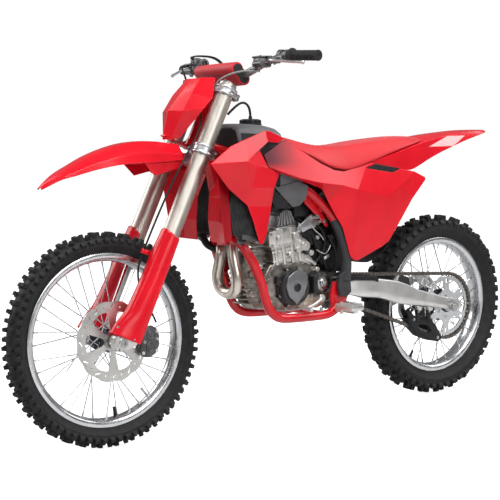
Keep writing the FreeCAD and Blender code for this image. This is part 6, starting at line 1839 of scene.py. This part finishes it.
class BIKE_OT_radiators(bpy.types.Operator):
    """Build the finned radiators and their louvred guards"""

    bl_idname = "bike.radiators"
    bl_label = "Radiators"

    def execute(self, context):
        radiator_pair()
        return {"FINISHED"}


# Rear end.
ARM_STATIONS = [
    # x, top, bottom, outer y, inner y
    (560, 470, 424, 84, 52), (530, 480, 422, 85, 53), (500, 484, 420, 92, 58), (470, 482, 414, 101, 64),
    (430, 478, 408, 107, 72), (380, 472, 402, 108, 80), (330, 465, 389, 108.5, 83), (281, 456, 374, 109, 86),
    (230, 440, 364, 109, 89), (178, 419, 357, 109, 91), (120, 402, 349, 109, 91), (60, 386, 338, 109, 91),
    (0, 372, 327, 109, 91), (-34, 364, 322, 109, 91),
]


def swingarm_beams():
    form = bmesh.new()
    own = bmesh.new()
    rings = []
    for x, top, bottom, outer, inner in between(ARM_STATIONS, 3):
        tall = top - bottom
        rings.append([(x, outer - 9, bottom), (x, outer - 2, bottom + 3), (x, outer, bottom + 9),
                      (x, outer, bottom + tall * 0.45), (x, outer - 2.5, bottom + tall * 0.55),
                      (x, outer - 2.5, top - 9), (x, outer - 5, top - 2.5), (x, outer - 10, top),
                      (x, inner + 4, top), (x, inner, top - 4), (x, inner, bottom + 4),
                      (x, inner + 4, bottom)])
    loft(own, rings)
    both_sides(form, own)
    cross_rod(form, *ARM_PIVOT, -83.5, 83.5, 23, sides=48)
    for near, far in ((-84, -40), (30, 84)):
        plate(form, [(520, 472), (470, 478), (404, 470), (396, 412), (470, 418), (520, 428)], near, far, 6)
    for side in (1, -1):
        y = side * 109.2
        plate(form, [(20, 376), (-36, 364), (-48, 350), (-48, 330), (-36, 320), (20, 328)], y - side * 20,
              y, 3)
        plate(form, [(184, 356), (156, 352), (160, 338), (178, 340)], side * 92, side * 107, 2)
        plate(form, [(126, 350), (98, 344), (104, 332), (120, 334)], side * 92, side * 107, 2)
    piece("swingarm_beams", form, "cast_silver", "ground", ("swingarm",), ease=1.0)
    dark = bmesh.new()
    for side in (1, -1):
        y = side * 109.4
        block(dark, (-8, y, 340), (46, 1.6, 17), bevel=0.5)
        for i in range(5):
            block(dark, (24 - i * 6, side * 109.6, 358), (1.2, 1.2, 8))
    piece("adjuster_slots", dark, "dark_metal", "ground")


def rear_spindle():
    form = bmesh.new()
    turned(form, [(6, -125), (11.5, -125), (12, -124.5), (12, -84.5), (20, -84.5), (20, -85.2), (12, -85.2),
                  (12, 85.2), (20, 85.2), (20, 84.5), (12, 84.5), (12, 115), (19, 115), (20, 116), (20, 118),
                  (12, 118), (12, 124.5), (11.5, 125), (6, 125)], sides=40, closed=True)
    for side in (1, -1):
        block(form, (0, side * 112.6, 0), (36, 6, 27), bevel=2.5)
        block(form, (-40, side * 103, 0), (12, 12, 20), bevel=2)
        rod(form, (-44, side * 103, 0), (-58, side * 103, 0), 4, sides=16)
        rod(form, (-47, side * 103, 0), (-53, side * 103, 0), 7, sides=6)
    cross_rod(form, 0, 0, 115.8, 123.6, 16, sides=6)
    cross_rod(form, 0, 0, -115.8, -120.6, 15, sides=6)
    piece("rear_spindle", form, "bolt_steel", "rear_axle", ("rear_axle",), ease=0.5)


def rear_brake():
    form = bmesh.new()
    for near, far in ((-92, -82), (-71, -56)):
        plate(form, [(56, 60), (96, 28), (132, 44), (134, 66), (128, 88), (100, 110), (66, 100)], near,
              far, 3)
    block(form, (116, -76, 92), (26, 24, 22), Matrix.Rotation(0.7, 4, "Y"), 3)
    turned(form, [(0, -94), (14, -94), (14, -90), (0, -90)], along_y(96, 66), 32)
    piece("rear_brake_caliper", form, "dark_metal", "rear_axle", ("rear_caliper",), ease=0.8)
    hanger = bmesh.new()
    plate(hanger, [(30, 12), (24, 36), (58, 66), (72, 44)], -88, -84, 1)
    for x, z in ((66, 92), (124, 54)):
        bolt(hanger, (x, -92, z), (0, -1, 0), 4.5, 5)
    piece("rear_brake_hanger", hanger, "cast_silver", "rear_axle")


def shock_absorber():
    foot = Vector((440, -33, 420))
    head = Vector((592, -33, 716))
    along = (head - foot).normalized()
    body = bmesh.new()
    rod(body, foot, foot + along * 96, 8, sides=24)
    rod(body, foot + along * 52, foot + along * 60, 30, 31, sides=40)
    rod(body, foot + along * 248, foot + along * 256, 31, 30, sides=40)
    rod(body, foot + along * 96, foot + along * 300, 20, sides=36)
    rod(body, foot + along * 300, head, 22, 16, sides=36)
    cross_rod(body, 440, 420, -47, -19, 13, sides=28)
    cross_rod(body, 592, 716, -47, -19, 13, sides=28)
    rod(body, foot + along * 268 + Vector((0, 28, 0)), foot + along * 330 + Vector((0, 44, 0)), 19, sides=36)
    for near, far in ((-50, -42), (-24, -16)):
        plate(body, [(424, 406.8), (456, 406.8), (500, 388), (516, 368), (500, 356), (430, 372)], near,
              far, 2)
    cross_rod(body, 504, 370, -52, -14, 10, sides=24)
    piece("shock_body", body, "dark_metal", "ground", ("shock",), ease=0.8)
    spring = bmesh.new()
    side = along.cross(Vector((0, 1, 0))).normalized()
    coils = 7
    points = []
    for i in range(coils * 12 + 1):
        angle = 2 * math.pi * i / 12
        centre = foot + along * (62 + 184 * i / (coils * 12))
        points.append(tuple(centre + (side * math.cos(angle) + Vector((0, 1, 0)) * math.sin(angle)) * 25.5))
    tube(spring, points, 5.5, 12, steps=3)
    piece("shock_spring", spring, "spring_metal", "ground")


def chain_guides():
    form = bmesh.new()
    outline = [(216, 350), (182, 318), (154, 312), (96, 302), (66, 268), (34, 224), (46, 214), (99, 225),
               (158, 247), (194, 279), (210, 312), (224, 340)]
    plate(form, [outline, [(150, 284), (110, 276), (92, 252), (104, 246), (146, 260), (164, 276)]], 86.5,
          92, 1.5)
    plate(form, outline, 58, 62, 1.2)
    plate(form, [(48, 218), (99, 227), (158, 249), (196, 282), (212, 312), (218, 308), (200, 276), (160, 241),
                 (99, 218), (50, 209)], 60, 90, 1)
    for x in (112, 168):
        plate(form, [(x - 9, 300), (x + 9, 300), (x + 9, 346), (x - 9, 342)], 88, 98, 1.5)
    rows = []
    for x, z in between([(528, 487), (500, 489), (470, 487), (430, 483), (400, 480), (381, 474)], 3):
        rows.append([(x, 104, z - 14), (x, 103, z - 2), (x, 92, z + 0.5), (x, 66, z + 0.5), (x, 62, z - 2),
                     (x, 61, z - 14)])
    shell(form, rows, 3)
    piece("chain_slider_and_guide", form, "plastic_black", "ground", ("chain_guide",), ease=1.0, angle=50)
    bolts = bmesh.new()
    for x, z in ((168, 336), (112, 332), (186, 306), (60, 226)):
        bolt(bolts, (x, 92 if z < 320 else 98, z), (0, 1, 0), 4.5, 4)
    piece("chain_guide_bolts", bolts, "bolt_steel", "ground")


def foot_pieces():
    form = bmesh.new()
    own = bmesh.new()
    plate(own, [(556, 402), (606, 402), (606, 396), (556, 396)], 150, 213, 1)
    for x in (556, 606):
        for i in range(8):
            plate(own, [(x - 3, 400), (x + 3, 400), (x + 1, 409), (x - 1, 409)], 152 + i * 7.8,
                  155.6 + i * 7.8)
    for y in (152, 172, 192, 211):
        for i in range(6):
            plate(own, [(561 + i * 8, 400), (565.5 + i * 8, 400), (564.2 + i * 8, 408), (562.3 + i * 8, 408)],
                  y - 1.8, y + 1.8)
        block(own, (581, y, 392), (48, 4, 16), bevel=1)
    for x in (555, 607):
        block(own, (x, 182, 393), (4, 64, 16), bevel=1)
    plate(own, [(574, 396), (588, 396), (592, 374), (570, 374)], 150, 206, 3)
    plate(own, [(564, 402), (600, 402), (600, 374), (564, 374)], 115, 150, 4)
    rod(own, (582, 132, 366), (582, 132, 408), 6.5, sides=20)
    both_sides(form, own)
    tube(form, [(650, 60, 424), (650, 96, 424), (654, 108, 423), (690, 120, 410), (720, 124, 402),
                (742, 126, 396)], 6.5, 16, [1.4, 1.1, 1.0, 0.95, 0.9, 0.95])
    turned(form, [(0, 116), (7.5, 116), (8, 118)] + [(8 - (i % 2) * 0.8, 119 + i * 2.6) for i in range(14)]
           + [(7.5, 156.5), (0, 156.5)], along_y(742, 396), 24)
    turned(form, [(0, 98), (12, 98), (13, 99), (13, 107), (12, 108), (0, 108)], along_y(650, 424), 28)
    tube(form, [(584, -114.3, 402), (600, -130, 396), (618, -132, 376), (640, -132, 360), (660, -132, 354),
                (710, -133, 360), (740, -134, 368), (768, -136, 386)], 6.5, 16)
    block(form, (769, -135, 389.5), (34, 30, 6), bevel=1.5)
    for i in range(5):
        block(form, (757 + i * 6, -135, 393.5), (2.4, 28, 4))
    turned(form, [(0, -112), (14, -112), (14, -122), (12, -124), (0, -124)], along_y(584, 402), 28)
    piece("pegs_lever_and_pedal", form, "cast_silver", "ground", ("foot_controls",), ease=0.6)


class BIKE_OT_swingarm(bpy.types.Operator):
    """Build the swingarm, spindle, rear caliper and shock absorber"""

    bl_idname = "bike.swingarm"
    bl_label = "Swingarm and Shock"

    def execute(self, context):
        swingarm_beams()
        rear_spindle()
        rear_brake()
        shock_absorber()
        return {"FINISHED"}


class BIKE_OT_rear_fittings(bpy.types.Operator):
    """Build the chain slider and guide, the foot pegs, the shift lever and the brake pedal"""

    bl_idname = "bike.rear_fittings"
    bl_label = "Chain Guide and Foot Controls"

    def execute(self, context):
        chain_guides()
        foot_pieces()
        return {"FINISHED"}


# Stage.
FLOOR_GAP = 0.3
FLOOR_SIZE = 30.0
FLOOR_LIT = 0.9
EYE = (4105, 4008, 1105)
HEADING = (-0.623, -0.776, -0.098)
LAMPS = [
    # name, place, share of the key light, width, height
    ("overhead", (1.0, 2.0, 4.0), 1.0, 4.0, 3.0), ("left", (0.6, 5.0, 1.8), 0.3, 3.0, 2.0),
    ("front", (5.0, 0.4, 1.8), 0.16, 2.0, 2.4), ("right", (2.6, -4.2, 2.2), 0.5, 3.5, 3.0),
    ("back", (-4.0, 1.5, 2.9), 0.4, 3.5, 2.4),
]


def stage_finish(name, colour, lit):
    """A pale surface that the camera sees at its full tone, with the bike's shadow kept."""
    made, tree, shader = plain_material(name, Roughness=0.9, Specular_IOR_Level=0.1)
    where = node(tree, "TexCoord")
    grain = node(tree, "TexNoise", {"Scale": 3.0}, {"Vector": where.outputs["Object"]})
    blend = node(tree, "ValToRGB", {}, {"Fac": grain.outputs["Fac"]})
    blend.color_ramp.elements[0].color = (*[value * 0.985 for value in colour], 1)
    blend.color_ramp.elements[1].color = (*colour, 1)
    tree.links.new(blend.outputs["Color"], shader.inputs["Base Color"])
    path = node(tree, "LightPath")
    seen = node(tree, "Math", {1: lit}, {0: path.outputs["Is Camera Ray"]})
    seen.operation = "MULTIPLY"
    glow = node(tree, "Emission", {"Color": (1, 1, 1, 1)}, {"Strength": seen.outputs["Value"]})
    both = node(tree, "AddShader", {}, {0: shader.outputs["BSDF"], 1: glow.outputs["Emission"]})
    tree.links.new(both.outputs["Shader"], tree.nodes["Material Output"].inputs["Surface"])
    return made


def pale_world(level):
    """An even grey world for light, which the camera and clear finishes see as white."""
    world = bpy.data.worlds.new("Pale surround")
    world.use_nodes = True
    tree = world.node_tree
    back = tree.nodes["Background"]
    back.inputs["Color"].default_value = (level, level, level, 1)
    seen = node(tree, "Background", {"Color": (1, 1, 1, 1)})
    path = node(tree, "LightPath")
    either = node(tree, "Math", {}, {0: path.outputs["Is Camera Ray"],
                                     1: path.outputs["Is Transmission Ray"]})
    either.operation = "MAXIMUM"
    mix = node(tree, "MixShader", {}, {"Fac": either.outputs["Value"], 1: back.outputs["Background"],
                                       2: seen.outputs["Background"]})
    tree.links.new(mix.outputs["Shader"], tree.nodes["World Output"].inputs["Surface"])
    bpy.context.scene.world = world


def lamp(name, place, target, power, width, height):
    """A soft rectangular lamp aimed at a place."""
    data = bpy.data.lights.new(name, "AREA")
    data.shape = "RECTANGLE"
    data.size = width
    data.size_y = height
    data.energy = power
    thing = bpy.data.objects.new(name, data)
    thing.location = place
    thing.rotation_euler = (Vector(target) - Vector(place)).to_track_quat("-Z", "Y").to_euler()
    bpy.context.scene.collection.objects.link(thing)


class BIKE_OT_stage(bpy.types.Operator):
    """Set the floor, the soft lamps, the pale surround and the camera"""

    bl_idname = "bike.stage"
    bl_label = "Stage"

    def execute(self, context):
        settings = context.scene.bike_stage
        ground = TO_ROW @ Vector((0, 0, -FLOOR_GAP))
        bm = bmesh.new()
        bmesh.ops.create_grid(bm, x_segments=1, y_segments=1, size=FLOOR_SIZE,
                              matrix=Matrix.Translation((0, 0, ground.z)))
        mesh = bpy.data.meshes.new("floor")
        bm.to_mesh(mesh)
        bm.free()
        mesh.materials.append(stage_finish("floor_pale", colours().floor, FLOOR_LIT))
        floor = bpy.data.objects.new("floor", mesh)
        context.scene.collection.objects.link(floor)
        pale_world(0.2)
        for name, place, share, width, height in LAMPS:
            lamp(name, place, (0.25, 0.0, -0.35), settings.key_light * share, width, height)
        data = bpy.data.cameras.new("view")
        data.lens = settings.lens
        data.sensor_width = 36
        camera = bpy.data.objects.new("view", data)
        camera.location = TO_ROW @ Vector(EYE)
        camera.rotation_euler = Vector(HEADING).to_track_quat("-Z", "Y").to_euler()
        context.scene.collection.objects.link(camera)
        context.scene.camera = camera
        context.scene.view_settings.view_transform = "Standard"
        return {"FINISHED"}


# Panel and registration.
class BIKE_PT_panel(bpy.types.Panel):
    """The list of the bike's settings and pieces"""

    bl_idname = "BIKE_PT_panel"
    bl_label = "Motocross Bike"
    bl_space_type = "VIEW_3D"
    bl_region_type = "UI"
    bl_category = "Motocross"

    def draw(self, context):
        layout = self.layout
        for group in (context.scene.bike_colours, context.scene.bike_sizes, context.scene.bike_stage):
            box = layout.box()
            for name in group.__annotations__:
                box.prop(group, name)
        column = layout.column(align=True)
        for operator in STEPS:
            column.operator(operator.bl_idname)


STEPS = (
    BIKE_OT_finishes,
    BIKE_OT_front_wheel,
    BIKE_OT_rear_wheel,
    BIKE_OT_chain,
    BIKE_OT_fork,
    BIKE_OT_controls,
    BIKE_OT_front_plastics,
    BIKE_OT_bodywork,
    BIKE_OT_tank_and_seat,
    BIKE_OT_frame,
    BIKE_OT_engine,
    BIKE_OT_exhaust,
    BIKE_OT_radiators,
    BIKE_OT_swingarm,
    BIKE_OT_rear_fittings,
    BIKE_OT_stage,
)
CLASSES = (BikeColours, BikeSizes, StageSettings) + STEPS + (BIKE_PT_panel,)


def register():
    for made in CLASSES:
        bpy.utils.register_class(made)
    bpy.types.Scene.bike_colours = PointerProperty(type=BikeColours)
    bpy.types.Scene.bike_sizes = PointerProperty(type=BikeSizes)
    bpy.types.Scene.bike_stage = PointerProperty(type=StageSettings)


def unregister():
    for name in ("bike_stage", "bike_sizes", "bike_colours"):
        delattr(bpy.types.Scene, name)
    for made in reversed(CLASSES):
        bpy.utils.unregister_class(made)


def main():
    """Builds every piece and the stage."""
    register()
    for step in STEPS:
        group, name = step.bl_idname.split(".")
        getattr(getattr(bpy.ops, group), name)()


if __name__ == "__main__":
    main()
